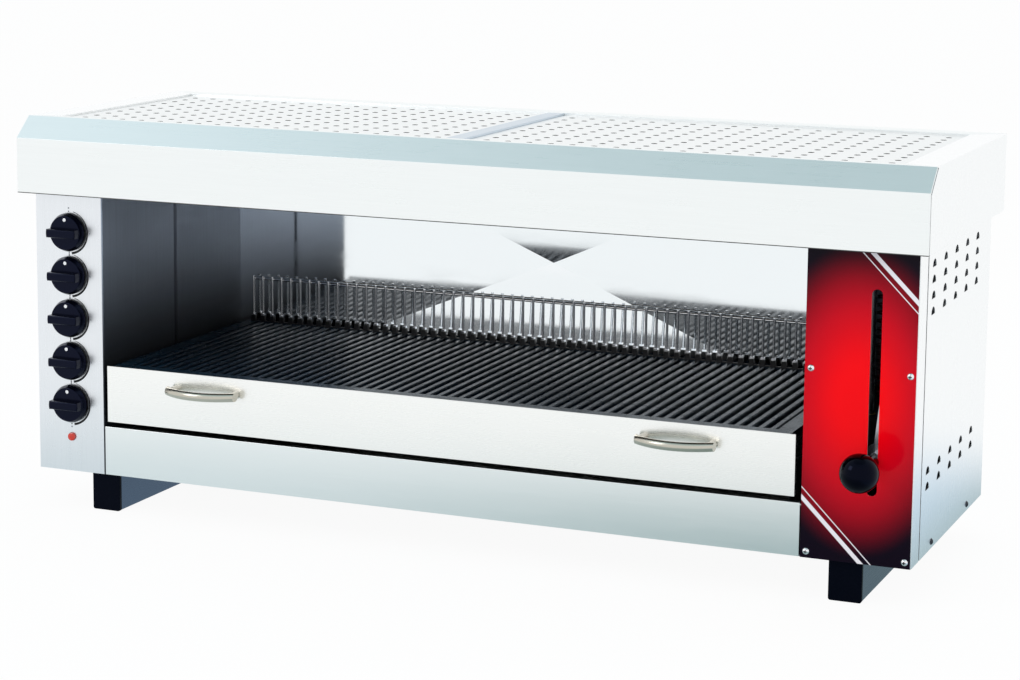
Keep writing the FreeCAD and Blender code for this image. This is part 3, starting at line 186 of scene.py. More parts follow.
def group_tree(name, inputs, outputs):
    """A node group with named sockets. Each input is given as name, type and default, and each output as name
    and type."""
    tree = bpy.data.node_groups.new(name, "ShaderNodeTree")
    for label, kind, default in inputs:
        socket = tree.interface.new_socket(name=label, in_out="INPUT", socket_type="NodeSocket" + kind)
        socket.default_value = default
    for label, kind in outputs:
        tree.interface.new_socket(name=label, in_out="OUTPUT", socket_type="NodeSocket" + kind)
    shader = Shader(tree)
    entry = tree.nodes.new("NodeGroupInput")
    leave = tree.nodes.new("NodeGroupOutput")
    return shader, entry, leave


def grain_group():
    """Brushed grain: noise drawn out along one axis, in a fine and a broad set of streaks."""
    shader, entry, leave = group_tree(
        "brushed_grain",
        [("Position", "Vector", (0, 0, 0)), ("Stretch", "Vector", (1, 1, 1)), ("Broad Share", "Float", 0.2)],
        [("Streaks", "Float")],
    )
    drawn = shader.stretched(entry.outputs["Position"], entry.outputs["Stretch"])
    fine = shader.noise(drawn, scale=1300.0, detail=3.0, roughness=0.7)
    broad = shader.noise(drawn, scale=160.0, detail=2.0, roughness=0.5)
    mixed = shader.add(
        "ShaderNodeMix",
        {"Factor": entry.outputs["Broad Share"], "A": fine, "B": broad},
        data_type="FLOAT",
    ).outputs["Result"]
    shader.feed(leave.inputs["Streaks"], mixed)
    return shader.tree


WIPE_STRETCH = (2.0, 2.0, 11.0)
MARKED_RANGE = (0.12, 0.42)


def smudge_group():
    """Handling marks: soft cloudy patches with a few longer wipes, as on cleaned sheet steel."""
    shader, entry, leave = group_tree(
        "wipe_marks",
        [("Position", "Vector", (0, 0, 0)), ("Size", "Float", 9.0)],
        [("Marks", "Float")],
    )
    place = entry.outputs["Position"]
    clouds = shader.noise(place, scale=entry.outputs["Size"], detail=3.0, roughness=0.55)
    squeezed = shader.stretched(place, WIPE_STRETCH)
    wipes = shader.noise(squeezed, scale=entry.outputs["Size"], detail=2.0, roughness=0.6)
    both = shader.math("MULTIPLY", clouds, wipes)
    shader.feed(leave.inputs["Marks"], shader.span(both, *MARKED_RANGE))
    return shader.tree


WHITE = (1.0, 1.0, 1.0, 1.0)
# Parts of a noise's range: most of it, and its middle
MOST_NOISE = (0.3, 0.7)
MIDDLE_NOISE = (0.35, 0.65)
SMOOTHER = 0.85
GRAIN = grain_group()
SMUDGES = smudge_group()

GRAIN_LENGTH = 0.012
GRAIN_ALONG = {
    "x": (GRAIN_LENGTH, 1.0, 1.0),
    "y": (1.0, GRAIN_LENGTH, 1.0),
    "z": (1.0, 1.0, GRAIN_LENGTH),
}


def new_material(name):
    """An empty material with a Principled shader, and the Shader helper for its tree."""
    material = bpy.data.materials.new(name)
    material.use_nodes = True
    shader = Shader(material.node_tree)
    surface = next(n for n in material.node_tree.nodes if n.type == "BSDF_PRINCIPLED")
    return material, shader, surface


# The colour's share where the painted shade is darkest
PAINTED_SHADE_SHARE = 0.08


def brushed_metal(
        name, colour, along, roughness,
        spread=0.05, contrast=0.02, bump=0.00006, marks=0.03, painted_shade_below=None):
    """Sheet metal with grain along one axis: the grain varies tone, roughness and height, and marks dull it.
    The last argument is a pair of heights for painted shade: under the first the metal is painted darkest,
    and over the second it has no painted shade."""
    material, shader, surface = new_material(name)
    place = shader.object_position()
    grain = shader.add("ShaderNodeGroup", {"Position": place, "Stretch": GRAIN_ALONG[along]}, node_tree=GRAIN)
    smudge = shader.add("ShaderNodeGroup", {"Position": place}, node_tree=SMUDGES)
    streaks = grain.outputs["Streaks"]
    tinted = shader.span(streaks, *MIDDLE_NOISE)
    grain_and_shade_colour = shader.mix(tinted, scaled(colour, 1 - contrast), scaled(colour, 1 + contrast))
    # Painted shade: below the given heights the colour darkens towards a small share of itself
    if painted_shade_below:
        height = shader.add("ShaderNodeSeparateXYZ", {"Vector": place}).outputs["Z"]
        grain_and_shade_colour = shader.mix(shader.span(height, *painted_shade_below), scaled(colour, PAINTED_SHADE_SHARE), grain_and_shade_colour)
    shader.feed(surface.inputs["Base Color"], grain_and_shade_colour)
    rough = shader.span(streaks, *MOST_NOISE, roughness - spread / 2, roughness + spread / 2)
    dulled = shader.math("MULTIPLY_ADD", smudge.outputs["Marks"], marks, rough)
    shader.feed(surface.inputs["Roughness"], dulled)
    surface.inputs["Metallic"].default_value = 1.0
    if bump:
        shader.relief(surface, streaks, bump * MM)
    return material


WIPED_ROUGHER = 1.8


def mirror_metal(name, colour, roughness, wave=0.02):
    """Bright annealed sheet: a near mirror with a faint roll and light wipe marks."""
    material, shader, surface = new_material(name)
    place = shader.object_position()
    smudge = shader.add("ShaderNodeGroup", {"Position": place, "Size": 6.0}, node_tree=SMUDGES)
    surface.inputs["Base Color"].default_value = colour
    surface.inputs["Metallic"].default_value = 1.0
    wiped = shader.span(smudge.outputs["Marks"], 0.0, 1.0, roughness, roughness * WIPED_ROUGHER)
    shader.feed(surface.inputs["Roughness"], wiped)
    roll = shader.noise(place, scale=5.0, detail=1.0, roughness=0.4)
    shader.relief(surface, roll, wave * MM)
    return material


SPECKLE_LIFT = 0.004
SPECKLE_RANGE = (0.45, 0.75)
GLOSS_ROUGHER = 1.2
COAT_ROUGHNESS = 0.05


def plain_gloss(
        name, colour, roughness, specular,
        coat=0.0, speckle=0.0, texture_scale=1200.0, texture=0.004, tint=WHITE):
    """Moulded or enamelled surface: one colour with faint mottling, fine surface texture and varied gloss.
    tint colours the sheen of a surface that is seen square on."""
    material, shader, surface = new_material(name)
    place = shader.object_position()
    fine = shader.noise(place, scale=texture_scale, detail=2.0, roughness=0.6)
    soft = shader.noise(place, scale=40.0, detail=2.0, roughness=0.5)
    lighter = tuple(part * (1 + speckle) + SPECKLE_LIFT * speckle for part in colour[:3]) + (1.0,)
    shader.feed(surface.inputs["Base Color"], shader.mix(shader.span(fine, *SPECKLE_RANGE), colour, lighter))
    varied = shader.span(soft, *MOST_NOISE, roughness * SMOOTHER, roughness * GLOSS_ROUGHER)
    shader.feed(surface.inputs["Roughness"], varied)
    surface.inputs["Specular IOR Level"].default_value = specular
    surface.inputs["Specular Tint"].default_value = tint
    surface.inputs["Coat Weight"].default_value = coat
    surface.inputs["Coat Roughness"].default_value = COAT_ROUGHNESS
    shader.relief(surface, fine, texture * MM)
    return material


STRAW_TINT = (1.15, 0.98, 0.72)
BLUE_TINT = (0.72, 0.82, 1.1)
BLUE_TO_PLAIN = (0.35, 0.55)
PLAIN_TO_STRAW = (0.55, 0.72)
HEAT_ROUGHER = 1.15


def heat_tinted(name, colour, roughness):
    """Steel near the burners: brown-grey with straw and blue patches, and a dull skin."""
    material, shader, surface = new_material(name)
    place = shader.object_position()
    clouds = shader.noise(place, scale=14.0, detail=3.0, roughness=0.55)
    fine = shader.noise(place, scale=260.0, detail=2.0, roughness=0.6)
    tint = shader.mix(shader.span(clouds, *BLUE_TO_PLAIN), scaled(colour, BLUE_TINT), colour)
    tint = shader.mix(shader.span(clouds, *PLAIN_TO_STRAW), tint, scaled(colour, STRAW_TINT))
    shader.feed(surface.inputs["Base Color"], tint)
    varied = shader.span(fine, *MOST_NOISE, roughness * SMOOTHER, roughness * HEAT_ROUGHER)
    shader.feed(surface.inputs["Roughness"], varied)
    surface.inputs["Metallic"].default_value = 1.0
    return material


THREAD_PITCH = 1.5 * MM
THREAD_DEPTH = 0.3 * MM


def threaded_metal(name, colour, pitch):
    """A rolled thread along Y, as rings in the height of the surface."""
    material, shader, surface = new_material(name)
    axes = shader.add("ShaderNodeSeparateXYZ", {"Vector": shader.object_position()})
    turns = shader.math("MULTIPLY", axes.outputs["Y"], 2 * math.pi / pitch)
    ridge = shader.math("SINE", turns)
    surface.inputs["Base Color"].default_value = colour
    surface.inputs["Metallic"].default_value = 1.0
    surface.inputs["Roughness"].default_value = 0.2
    shader.relief(surface, ridge, THREAD_DEPTH)
    return material


BLUE_SHEEN = (0.62, 0.82, 1.0, 1.0)
PIT_DEPTH = 0.02 * MM
UPPER_FACES = (0.7, 0.98)


def enamel_bars():
    """Blue-black enamel on the grate, with tiny pits, and a painted sheen: the upper faces are painted a
    little paler in patches, and they are smoother.
    """
    material, shader, surface = new_material("grate_enamel")
    place = shader.object_position()
    pits = shader.noise(place, scale=700.0, detail=3.0, roughness=0.6)
    patches = shader.noise(place, scale=25.0, detail=2.0, roughness=0.5)
    normal = shader.add("ShaderNodeNewGeometry").outputs["Normal"]
    facing = shader.add("ShaderNodeSeparateXYZ", {"Vector": normal})
    top = shader.span(facing.outputs["Z"], *UPPER_FACES)
    # Painted sheen: the upper faces are paler in colour, in patches, and smoother
    top_sheen = shader.math("MULTIPLY", top, shader.span(patches, *MOST_NOISE, 0.5, 1.0))
    shader.feed(surface.inputs["Base Color"], shader.mix(top_sheen, tone(7, 18, 32), tone(13, 42, 60)))
    shader.feed(surface.inputs["Roughness"], shader.span(top_sheen, 0.0, 1.0, 0.36, 0.24))
    surface.inputs["Specular IOR Level"].default_value = 0.5
    surface.inputs["Specular Tint"].default_value = BLUE_SHEEN
    shader.relief(surface, pits, PIT_DEPTH)
    return material


ENAMEL_EDGE = 0.3 * MM
FENCE_FOOT = 8.5 * MM


def fence_metal(name, foot_top):
    """Bright nickel-plated wire above the height foot_top, and the grate's black enamel below it."""
    material, shader, surface = new_material(name)
    height = shader.add("ShaderNodeSeparateXYZ", {"Vector": shader.object_position()}).outputs["Z"]
    bare = shader.span(height, foot_top - ENAMEL_EDGE, foot_top + ENAMEL_EDGE)
    shader.feed(surface.inputs["Base Color"], shader.mix(bare, tone(7, 9, 14), tone(246, 247, 250)))
    shader.feed(surface.inputs["Metallic"], bare)
    shader.feed(surface.inputs["Roughness"], shader.span(bare, 0.0, 1.0, 0.35, 0.07))
    return material


# The printed panel's white bands. Each is its middle, measured along the slant from the panel's centre, and
# its width
PANEL_BANDS = (
    (185 * MM, 7 * MM),
    (173 * MM, 1.6 * MM),
    (-185 * MM, 7 * MM),
    (-173 * MM, 1.6 * MM),
)
BAND_EDGE = 0.4 * MM
GLOW_ACROSS = 0.4
GLOW_UPWARD = 1.4
RED_FADE = (0.2, 0.8)
DARK_FADE = (0.62, 1.16)


def printed_panel(low, high):
    """Gloss print between two corners: a red glow that darkens to plum towards the ends, and slanted white
    bands. The glow's reach is the root of the weighted squares of the shares across and upward."""
    material, shader, surface = new_material("printed_panel")
    axes = shader.add("ShaderNodeSeparateXYZ", {"Vector": shader.object_position()})
    half_width = (high[0] - low[0]) / 2
    half_height = (high[2] - low[2]) / 2
    across = shader.math("SUBTRACT", axes.outputs["X"], (low[0] + high[0]) / 2)
    upward = shader.math("SUBTRACT", axes.outputs["Z"], (low[2] + high[2]) / 2)
    u = shader.math("DIVIDE", across, half_width)
    v = shader.math("DIVIDE", upward, half_height)
    wide = shader.math("MULTIPLY", shader.math("MULTIPLY", u, u), GLOW_ACROSS)
    tall = shader.math("MULTIPLY", shader.math("MULTIPLY", v, v), GLOW_UPWARD)
    reach = shader.math("SQRT", shader.math("ADD", wide, tall))
    red = shader.mix(shader.span(reach, *RED_FADE), tone(255, 2, 16), tone(196, 6, 30))
    glow = shader.mix(shader.span(reach, *DARK_FADE), red, tone(16, 6, 22))
    slant = shader.math("ADD", across, upward)
    bands = 0.0
    for middle, width in PANEL_BANDS:
        away = shader.math("ABSOLUTE", shader.math("SUBTRACT", slant, middle))
        line = shader.span(away, width / 2 + BAND_EDGE, width / 2 - BAND_EDGE)
        bands = shader.math("MAXIMUM", bands, line)
    shader.feed(surface.inputs["Base Color"], shader.mix(bands, glow, tone(240, 236, 242)))
    surface.inputs["Roughness"].default_value = 0.1
    surface.inputs["Specular IOR Level"].default_value = 0.09
    return material


# Heights above the ground for painted shade: the hood's face is painted dark over its lowest millimetre, and
# the chamber's walls are painted darker downwards to the grate.
HOOD_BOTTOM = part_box("hood_front")[0][2]
HOOD_EDGE_SHADE = (HOOD_BOTTOM + 0.9 * MM, HOOD_BOTTOM + 1.3 * MM)
WALL_SHADE_HEIGHTS = (180 * MM, 380 * MM)

FINE_GRAIN = {"spread": 0.03, "contrast": 0.01, "bump": 0.00003}
HOOD_STEEL = brushed_metal("hood_steel", tone(246, 249, 249), "x", 0.28, **FINE_GRAIN)
# Painted shade: the hood's face is painted dark over its lowest millimetre
HOOD_FRONT_STEEL = brushed_metal(
    "hood_front_steel", tone(246, 249, 249), "x", 0.28, **FINE_GRAIN, painted_shade_below=HOOD_EDGE_SHADE)
DRAWER_STEEL = brushed_metal(
    "drawer_steel", tone(253, 253, 251), "x", 0.26, spread=0.03, contrast=0.008, bump=0.00002)
PLINTH_STEEL = brushed_metal("plinth_steel", tone(246, 249, 249), "x", 0.2, **FINE_GRAIN)
COLUMN_STEEL = brushed_metal("column_steel", tone(236, 239, 243), "z", 0.28)
SIDE_STEEL = brushed_metal(
    "side_steel", tone(253, 254, 255), "z", 0.26, spread=0.03, contrast=0.01, marks=0.015)
TOP_STEEL = brushed_metal("top_steel", tone(246, 247, 247), "x", 0.34, contrast=0.01)
DIVIDER_STEEL = brushed_metal("divider_steel", tone(206, 217, 227), "y", 0.3)
# Painted shade: the rails' steel is given a dark blue-grey for the shaded floor under the cabinet that it
# reflects
RAIL_SHADED_STEEL = brushed_metal("rail_steel_painted_shade", tone(84, 100, 122), "y", 0.26)
# Painted shade: the chamber's walls are painted darker downwards to the grate
CHAMBER_WALL = brushed_metal(
    "chamber_wall_steel", tone(192, 202, 218), "z", 0.62, contrast=0.06, painted_shade_below=WALL_SHADE_HEIGHTS)
MIRROR = mirror_metal("mirror_steel", tone(243, 247, 249), 0.05)
ZINC = brushed_metal("zinc_sheet", tone(96, 100, 106), "x", 0.5, contrast=0.1)
SPRING_STEEL = brushed_metal("spring_steel", tone(58, 60, 66), "z", 0.4)
FENCE = fence_metal("fence_wire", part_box("grate_frame")[1][2] + FENCE_FOOT)
CHROME = brushed_metal("bright_wire", tone(240, 240, 242), "z", 0.09, spread=0.03, bump=0.0)
NICKEL = brushed_metal("satin_handle", tone(196, 192, 180), "x", 0.18, spread=0.04)
# Painted shade: near black for the top plates' hole walls and undersides
HOLE_SHADE = brushed_metal("hole_painted_shade", tone(9, 10, 13), "z", 0.6)
BARE_EDGE = brushed_metal("cut_edge", tone(226, 229, 232), "z", 0.3)
# Painted shade: dark colour for the screws' recesses
RECESS_SHADE = brushed_metal("screw_recess_painted_shade", tone(30, 34, 38), "y", 0.5)
DARK_SCREW = brushed_metal("side_screw", tone(62, 66, 72), "y", 0.3)
ENAMEL = enamel_bars()
NAVY_SHEEN = (0.42, 0.5, 1.0, 1.0)
KNOB = plain_gloss("knob_black", tone(2, 3, 12), 0.2, 0.22, speckle=0.2, tint=NAVY_SHEEN)
BALL = plain_gloss("ball_black", tone(1, 1, 3), 0.1, 0.12, texture=0.002, tint=NAVY_SHEEN)
CAP = plain_gloss("cap_black", tone(2, 4, 10), 0.5, 0.08, speckle=0.3, texture=0.01, tint=NAVY_SHEEN)
BUTTON = plain_gloss("button_red", tone(206, 40, 12), 0.18, 0.5, coat=0.4)
BRASS = brushed_metal("turned_brass", tone(205, 172, 102), "z", 0.28)
ALUMINIUM = brushed_metal("pipe_aluminium", tone(190, 192, 196), "x", 0.32)
# Painted shade: the burner bodies and the deck get a dark base colour so that they read dark through the top
# plates' holes; the straw and blue patches are heat tint
BURNER = heat_tinted("burner_steel", tone(72, 70, 68), 0.5)
DECK = heat_tinted("burner_deck_steel", tone(62, 60, 58), 0.42)
GROUND = brushed_metal("ground_steel", tone(196, 199, 204), "y", 0.2)
THREAD = threaded_metal("stud_thread", tone(205, 208, 212), THREAD_PITCH)
CERAMIC = plain_gloss(
    "porous_ceramic", tone(150, 138, 122), 0.8, 0.3, speckle=0.25, texture_scale=500.0, texture=0.15)
GLAZE = plain_gloss("white_ceramic", tone(232, 230, 220), 0.15, 0.5, coat=0.3)
PANEL_PRINT = printed_panel(*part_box("lever_fascia"))
INK = plain_gloss("dial_ink", tone(16, 17, 22), 0.45, 0.3)
FAINT_INK = plain_gloss("dial_mark_ink", tone(150, 153, 160), 0.45, 0.3)
DOT_PAINT = plain_gloss("dot_paint", tone(246, 246, 248), 0.35, 0.4)


# Pieces carried over from the frame

MERGE_DISTANCE = 0.004 * MM
FLAT_ANGLE = math.radians(0.4)
SMOOTH_ANGLE = math.radians(32)
BEVEL_ANGLE = math.radians(28)
BEVEL_STEPS = 2
BODIES = frame["record"]["behaviour"]["bodies"]
BODY_OF = {node: body for body, nodes in BODIES.items() for node in nodes}


def dressed(node, material, bevel=0.0):
    """A node's own shape with its triangles joined, flat faces made whole, curved faces shaded smooth and its
    sharp edges rounded by bevel millimetres. It stands for the node."""
    mesh = frame["nodes"][node].data.copy()
    mesh.name = node + "_dressed"
    for attribute in [a.name for a in mesh.attributes if a.name == "custom_normal"]:
        mesh.attributes.remove(mesh.attributes[attribute])
    shape = bmesh.new()
    shape.from_mesh(mesh)
    bmesh.ops.remove_doubles(shape, verts=shape.verts, dist=MERGE_DISTANCE)
    bmesh.ops.dissolve_limit(shape, angle_limit=FLAT_ANGLE, verts=shape.verts, edges=shape.edges)
    shape.to_mesh(mesh)
    shape.free()
    mesh.materials.clear()
    mesh.materials.append(material)
    mesh.shade_smooth()
    mesh.set_sharp_from_angle(angle=SMOOTH_ANGLE)
    piece = bpy.data.objects.new(node + "_dressed", mesh)
    bpy.context.scene.collection.objects.link(piece)
    if bevel:
        rounding = piece.modifiers.new("edge_rounding", "BEVEL")
        rounding.width = bevel * MM
        rounding.segments = BEVEL_STEPS
        rounding.limit_method = "ANGLE"
        rounding.angle_limit = BEVEL_ANGLE
        rounding.harden_normals = True
    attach(piece, BODY_OF[node])
    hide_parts(node)
    return piece


def painted(node, material):
    """The node keeps its own mesh and takes the material."""
    target = frame["nodes"][node]
    for place in target.material_slots:
        place.material = material


def repaint(piece, material, chosen):
    """The faces that chosen picks, from their middles and normals, take a second material."""
    faces = piece.data.polygons
    middles = np.empty(len(faces) * 3)
    normals = np.empty(len(faces) * 3)
    index = np.empty(len(faces), dtype=np.int32)
    faces.foreach_get("center", middles)
    faces.foreach_get("normal", normals)
    faces.foreach_get("material_index", index)
    piece.data.materials.append(material)
    index[chosen(middles.reshape(-1, 3), normals.reshape(-1, 3))] = len(piece.data.materials) - 1
    faces.foreach_set("material_index", index)


SHEETS = {
    "hood_front": (HOOD_FRONT_STEEL, 0.5),
    "hood_end_left": (SIDE_STEEL, 0.4),
    "hood_end_right": (SIDE_STEEL, 0.4),
    "hood_rear": (HOOD_STEEL, 0.4),
    "plate_frame": (TOP_STEEL, 0.3),
    "top_divider": (DIVIDER_STEEL, 0.4),
    "control_panel": (COLUMN_STEEL, 0.5),
    "lever_column": (SIDE_STEEL, 0.5),
    "lever_fascia": (PANEL_PRINT, 0.2),
    "lower_front_panel": (PLINTH_STEEL, 0.5),
    "side_panel_left": (SIDE_STEEL, 0.3),
    "side_panel_right": (SIDE_STEEL, 0.3),
    "base_panel": (ZINC, 0.4),
    "chamber_wall_left": (CHAMBER_WALL, 0.2),
    "chamber_wall_right": (CHAMBER_WALL, 0.2),
    "foot_rails": (RAIL_SHADED_STEEL, 0.8),
    "foot_end_caps": (CAP, 0.6),
    "drawer_front": (DRAWER_STEEL, 0.5),
    "drawer_box": (DRAWER_STEEL, 0.3),
    "drip_tray": (MIRROR, 0.4),
    "carriage_frame": (ZINC, 0.3),
    "lever_arm": (GROUND, 0.4),
    "lever_nuts": (GROUND, 0.4),
    "lift_bracket_left": (ZINC, 0.6),
    "lift_bracket_right": (ZINC, 0.6),
    "rod_hangers": (ZINC, 0.6),
    "gas_valves": (BRASS, 0.6),
    "gas_manifold": (ZINC, 0.4),
    "burner_bodies": (BURNER, 0.5),
}
ROUND_PIECES = {
    "top_plate_left": TOP_STEEL,
    "top_plate_right": TOP_STEEL,
    "panel_screws": CHROME,
    "drawer_handles": NICKEL,
    "handle_screws": CHROME,
    "grate_fence": FENCE,
    "guide_rods": GROUND,
    "guide_bushes": BRASS,
    "lever_stud": THREAD,
    "ball_knob": BALL,
    "feed_pipes": ALUMINIUM,
    "igniter_button": BUTTON,
    "igniter_body": CAP,
    "igniter_electrodes": GLAZE,
}
PLAIN_PIECES = {
    "back_panel": COLUMN_STEEL,
    "chamber_floor": MIRROR,
    "burner_deck": DECK,
    "grate_frame": ENAMEL,
    "grate_bars": ENAMEL,
    "burner_plaques": CERAMIC,
}
KNOB_COUNT = 5

pieces = {}
for name, (material, bevel) in SHEETS.items():
    pieces[name] = dressed(name, material, bevel)
for name, material in ROUND_PIECES.items():
    pieces[name] = dressed(name, material)
for name, material in PLAIN_PIECES.items():
    painted(name, material)
for number in range(1, KNOB_COUNT + 1):
    dressed("burner_knob_%d" % number, KNOB)
    painted("valve_spindle_%d" % number, GROUND)


# Second materials: painted shade in the punched holes, the printed panel's cut edges, the side screws, and
# painted shade in the screws' recesses

PLATE_BORDER = 2 * MM
UPWARD = 0.5
FRONTWARD = -0.9
SIDE_SCREW_REACH = 9 * MM
CORNER_ZONE = 20 * MM
RECESS_WALL = 0.05
RECESS_FLOOR = 0.9995


def hole_walls(side):
    """A test for the parts of a top plate that are painted near black as shade: the holes' walls, away from
    the plate's border, and the underside."""
    low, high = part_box("top_plate_" + side)

    def chosen(middles, normals):
        after = np.all(middles[:, :2] > np.array(low[:2]) + PLATE_BORDER, axis=1)
        before = np.all(middles[:, :2] < np.array(high[:2]) - PLATE_BORDER, axis=1)
        return after & before & (normals[:, 2] < UPWARD)
    return chosen


def on_sides(middles):
    """Which of these points belong to screws on the side panels."""
    low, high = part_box("control_panel")[0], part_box("lever_column")[1]
    on_side = (middles[:, 0] < low[0] + SIDE_SCREW_REACH) | (middles[:, 0] > high[0] - SIDE_SCREW_REACH)
    on_side &= middles[:, 1] > low[1] + CORNER_ZONE
    return on_side & (middles[:, 1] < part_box("back_panel")[0][1] - CORNER_ZONE)


def recess_faces(middles, normals):
    """The flat floor and the walls of the screws' cross recesses, which are painted dark as shade. A screw's
    axis is along Y on the front and back, and along X on the sides."""
    along = np.abs(np.where(on_sides(middles), normals[:, 0], normals[:, 1]))
    return (along < RECESS_WALL) | (along > RECESS_FLOOR)


for side in ("left", "right"):
    # Painted shade: the holes' walls and the plates' undersides are painted near black
    repaint(pieces["top_plate_" + side], HOLE_SHADE, hole_walls(side))
repaint(pieces["lever_fascia"], BARE_EDGE, lambda middles, normals: normals[:, 1] > FRONTWARD)
repaint(pieces["panel_screws"], DARK_SCREW, lambda middles, normals: on_sides(middles))
# Painted shade: the screws' recesses are painted dark
repaint(pieces["panel_screws"], RECESS_SHADE, recess_faces)


# The chamber's back: a bright skin over the cross-broken sheet

BREAK_DEPTH = 12 * MM
BREAK_CURVE = 1.5
BREAK_LEAN = 2 * MM
SKIN_GAP = 0.8 * MM
CROSSING_SHIFT = (6.3 * MM, -5.5 * MM)
RINGS = 48
STEPS_PER_SIDE = 28


def back_skin():
    """Rings of shrinking rectangles round the crossing. On the ring at the share s of the full size, the
    sheet lies back by the depth times (1 - s) to the power of the curve, so it is steepest at the crossing.
    The whole sheet leans forward evenly from its bottom to its top.
    The edges from the crossing to the corners are creases."""
    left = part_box("chamber_wall_left")[1][0]
    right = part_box("chamber_wall_right")[0][0]
    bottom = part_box("chamber_floor")[1][2]
    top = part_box("back_panel")[1][2]
    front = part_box("back_panel")[0][1]
    crossing = np.array([(left + right) / 2 + CROSSING_SHIFT[0], (bottom + top) / 2 + CROSSING_SHIFT[1]])
    corners = np.array([[left, bottom], [right, bottom], [right, top], [left, top]])
    along = np.arange(STEPS_PER_SIDE)[:, None] / STEPS_PER_SIDE
    sides = [start + (end - start) * along for start, end in zip(corners, np.roll(corners, -1, axis=0))]
    outline = np.concatenate(sides)
    share = np.linspace(0, 1, RINGS + 1)[1:]
    flat = crossing + share[:, None, None] * (outline - crossing)
    lie = front - SKIN_GAP + BREAK_DEPTH * (1 - share) ** BREAK_CURVE
    forward = BREAK_LEAN * (flat[..., 1] - bottom) / (top - bottom)
    depth = lie[:, None] - forward
    points = np.stack([flat[..., 0], depth, flat[..., 1]], axis=-1).reshape(-1, 3)
    middle_lean = BREAK_LEAN * (crossing[1] - bottom) / (top - bottom)
    points = np.vstack([points, [crossing[0], front - SKIN_GAP + BREAK_DEPTH - middle_lean, crossing[1]]])
    around = len(outline)
    index = np.arange(RINGS * around).reshape(RINGS, around)
    beside = np.roll(index, -1, axis=1)
    quads = np.stack([index[:-1], index[1:], beside[1:], beside[:-1]], axis=-1).reshape(-1, 4)
    fan = np.stack([np.full(around, RINGS * around), index[0], beside[0]], axis=-1)
    mesh = bpy.data.meshes.new("back_skin")
    mesh.from_pydata(points.tolist(), [], quads.tolist() + fan.tolist())
    mesh.materials.append(MIRROR)
    mesh.shade_smooth()
    ends = np.empty(len(mesh.edges) * 2, dtype=np.int32)
    mesh.edges.foreach_get("vertices", ends)
    ends = ends.reshape(-1, 2)
    on_crease = (ends % STEPS_PER_SIDE == 0) | (ends == RINGS * around)
    joins_rings = (ends[:, 0] // around) != (ends[:, 1] // around)
    sharp = mesh.attributes.new("sharp_edge", "BOOLEAN", "EDGE")
    sharp.data.foreach_set("value", on_crease.all(axis=1) & joins_rings)
    piece = bpy.data.objects.new("back_skin", mesh)
    bpy.context.scene.collection.objects.link(piece)
    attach(piece, "cabinet")


back_skin()


# Counter-springs

def fit_springs():
    """The springs' wire in spring steel, on a mesh of its own."""
    springs = dressed("counter_springs", SPRING_STEEL)
    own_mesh(springs)


fit_springs()


# Printed dials round the knobs, and a painted dot on each knob

INK_LIFT = 0.12 * MM
DIAL_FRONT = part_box("control_panel")[0][1]
WEDGE_GAP = 2.8 * MM
WEDGE_THIN = 0.3 * MM
WEDGE_GROWTH = 1.3 * MM
WEDGE_START = math.radians(14)
WEDGE_END = math.radians(172)
WEDGE_STEPS = 64
DISC_STEPS = 17
# Each small mark of a dial: its name, its place in degrees clockwise from the top, its distance from the
# knob's rim and its radius, both in millimetres, and its ink
DIAL_MARKS = (
    ("off_mark", 0, 2.4, 0.8, INK),
    ("off_ring", 0, 6.6, 1.1, FAINT_INK),
    ("low_mark", 90, 6.0, 1.0, FAINT_INK),
    ("high_tick", 180, 2.4, 0.9, INK),
    ("high_mark", 180, 6.2, 1.1, FAINT_INK),
)
KNOB_FACE_DEPTH = 11.5 * MM
DOT_LIFT = 0.1 * MM
DOT_HEIGHT = 17.3 * MM
DOT_RADIUS = 2.3 * MM
DOT_STEPS = 25


def sheet_mesh(name, points, columns, material):
    """A mesh over a grid of points, with columns points in each row, its faces turned towards the front."""
    rows = len(points) // columns
    index = np.arange(rows * columns).reshape(rows, columns)
    quads = np.stack([index[:-1, :-1], index[:-1, 1:], index[1:, 1:], index[1:, :-1]], axis=-1).reshape(-1, 4)
    mesh = bpy.data.meshes.new(name)
    mesh.from_pydata(points.tolist(), [], quads.tolist())
    mesh.materials.append(material)
    piece = bpy.data.objects.new(name, mesh)
    bpy.context.scene.collection.objects.link(piece)
    return piece


def print_patch(centre, inner, outer, start, stop, steps):
    """Points of a ring patch in the plane of the front: radii inner and outer, from angle start to stop,
    measured clockwise from twelve o'clock. inner and outer are functions of the share, 0 to 1, along the
    patch."""
    share = np.linspace(0, 1, steps)
    angle = start + (stop - start) * share
    rings = np.stack([inner(share), outer(share)], axis=1)
    x = centre[0] + rings * np.sin(angle)[:, None]
    z = centre[2] + rings * np.cos(angle)[:, None]
    y = np.full_like(x, centre[1])
    return np.stack([x, y, z], axis=-1).reshape(-1, 3)


def disc(centre, radius, steps):
    """Points of a round spot in the plane of the front: a ring patch whose inner radius is nothing."""
    return print_patch(
        centre,
        lambda share: np.zeros_like(share),
        lambda share: np.full_like(share, radius),
        0, 2 * math.pi, steps,
    )


